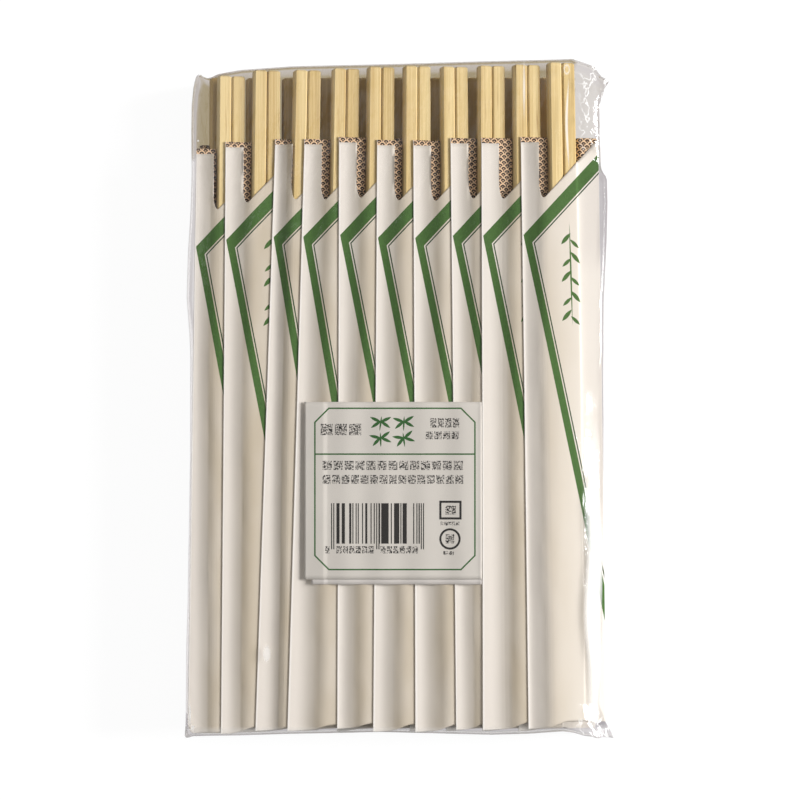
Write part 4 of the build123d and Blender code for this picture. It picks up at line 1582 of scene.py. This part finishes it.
@dataclass
class ChopstickPack:
    """The whole pack: three shingled rows, the label and the bag.

    The measured pair is the one whose box tells where its row lies. The folded one's flap
    is bent back. Both numbers count from 0.
    """

    sizes: SleeveSizes = field(default_factory=SleeveSizes)
    measured: int = 4
    folded: int = 2
    fold_back: float = 0.3
    first_trims: tuple = (1.3, 1.0)
    # How much of the wood tint and painted shade the last sleeve of each row has.
    last_wood_and_shade_strength: float = 0.45
    hidden_body_rows: int = 8

    def measured_node(self, row: str) -> str:
        """The node of a row's measured pair."""
        return f"{row}_pair_{self.measured + 1:02d}"

    def rows(self) -> dict[RowName, ShingledRow]:
        """The three rows, with one roll for all of them and their levels from the frame."""
        front = ShingledRow(
            RowName.FRONT, self.sizes, shift=0.0, foot_shift=-0.123,
            head_pitches=(0.97, 1.11, 1.055, 0.96, 0.985, 1.015, 1.015, 0.96, 0.945),
            foot_pitches=(0.905, 0.985, 1.095, 1.095, 1.095, 1.205, 0.905, 1.07, 1.07),
            head_flaps=(0.845, 1.01, 0.73, 0.98, 1.05, 0.99, 1.035, 1.045, 1.145, 1.045),
            foot_flaps=(0.975, 0.97, 1.005, 1.205, 0.965, 1.07, 1.115, 0.94, 1.25, 1.085),
            sleeve_slides=(-0.7, -0.32, 0.0, 0.0, 0.2, -0.1, -0.13, 0.1, 0.1, 0.2),
            stick_slides=(-1.0, -0.4, -0.37, -0.2, -0.03, 0.07, 0.0, 0.1, 0.2, 0.43),
            last_loose=2.4)
        middle = ShingledRow.even(RowName.MIDDLE, self.sizes, shift=-0.26, flaps=(0.6, 0.78),
                                  sleeve_slide=-0.43, stick_slide=-0.9)
        back = ShingledRow.even(RowName.BACK, self.sizes, shift=-0.13, flaps=(0.72, 0.94),
                                sleeve_slide=-0.1, stick_slide=-0.5)
        rows = {row.name: row for row in (front, middle, back)}
        roll = math.asin(max(row.steepest() for row in rows.values()))
        for name, row in rows.items():
            row.roll = roll
            node = "middle_pairs" if name is RowName.MIDDLE else self.measured_node(name.value)
            row.level = node_middle(node)[2]
        return rows

    def placement(self, front: ShingledRow) -> Placement:
        """Reads from the front pairs' boxes where the maker's frame lies."""
        shifts = [node_middle(f"front_pair_{index + 1:02d}")[0]
                  - (front.head[index] + front.foot[index]) / 2 for index in range(PAIRS)]
        slide = self.sizes.slide * front.stick_slides[self.measured]
        y = node_middle(self.measured_node("front"))[1] - slide
        return Placement(float(np.mean(shifts)), float(y))

    def sleeve(self, row: ShingledRow, index: int, placement: Placement) -> PaperSleeve:
        """One sleeve with what is its own.

        The hidden rows are coarser. In the front row the first sleeve is trimmed and one
        has a flap that is bent back. Each row's last sleeve has less of the wood tint and
        painted shade over its pair.

        Args:
            row: the sleeve's row.
            index: the pair's number from the left, from 0.
            placement: where the maker's frame lies.

        Returns:
            The sleeve, not built yet.
        """
        sleeve = PaperSleeve(row, index, placement)
        if row.name is not RowName.FRONT:
            sleeve.body_rows = self.hidden_body_rows
        elif index == 0:
            sleeve.foot_trim, sleeve.head_trim = self.first_trims
        elif index == self.folded:
            sleeve.fold_back = self.fold_back
        if index == PAIRS - 1:
            sleeve.wood_and_shade_strength = self.last_wood_and_shade_strength
        return sleeve

    def build(self) -> Placement:
        """Builds and dresses every piece, and returns where the maker's frame lies."""
        rows = self.rows()
        front = rows[RowName.FRONT]
        placement = self.placement(front)
        log.info("maker's frame at x %.2f y %.2f, roll %.2f degrees", placement.x,
                 placement.y, math.degrees(front.roll))
        bamboo = BareBamboo().make()
        # A darker, browner copy of the bamboo for the middle and back pairs: painted shade for the
        # shade that falls on them under the front row.
        inner_bamboo = BareBamboo("inner_bamboo", (0.66, 0.46, 0.17), (0.50, 0.33, 0.10)).make()
        for name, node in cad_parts.items():
            if "pair" in name:
                node.data.materials.clear()
                node.data.materials.append(bamboo if "front" in name else inner_bamboo)
                log.info("bamboo on %s", name)
        sleeve_finishes = [CollarPrint().make(), ScaleLining().make(), PlainPaper().make()]
        for row in rows.values():
            for index in range(PAIRS):
                piece = self.sleeve(row, index, placement).build(sleeve_finishes)
                log.info("built %s", piece.name)
        plain = PlainPaper("label_back", (0.76, 0.73, 0.69)).make()
        label = LabelCard(front, placement).build([LabelPrint().make(), plain])
        log.info("built %s", label.name)
        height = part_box("clear_bag")[1][2] / MILLIMETRE
        bag = FilmBag(placement, height).build(ClearFilm().make())
        log.info("built %s", bag.name)
        return placement


def main() -> None:
    """Builds the pack and the studio."""
    logging.basicConfig(level=logging.INFO, format="%(name)s: %(message)s")
    placement = ChopstickPack().build()
    level = node_middle("front_pair_05")[2]
    middle = (VIEW_MIDDLE[0] + placement.x, VIEW_MIDDLE[1] + placement.y, level)
    Studio(np.array(middle)).build()


if __name__ == "__main__":
    main()
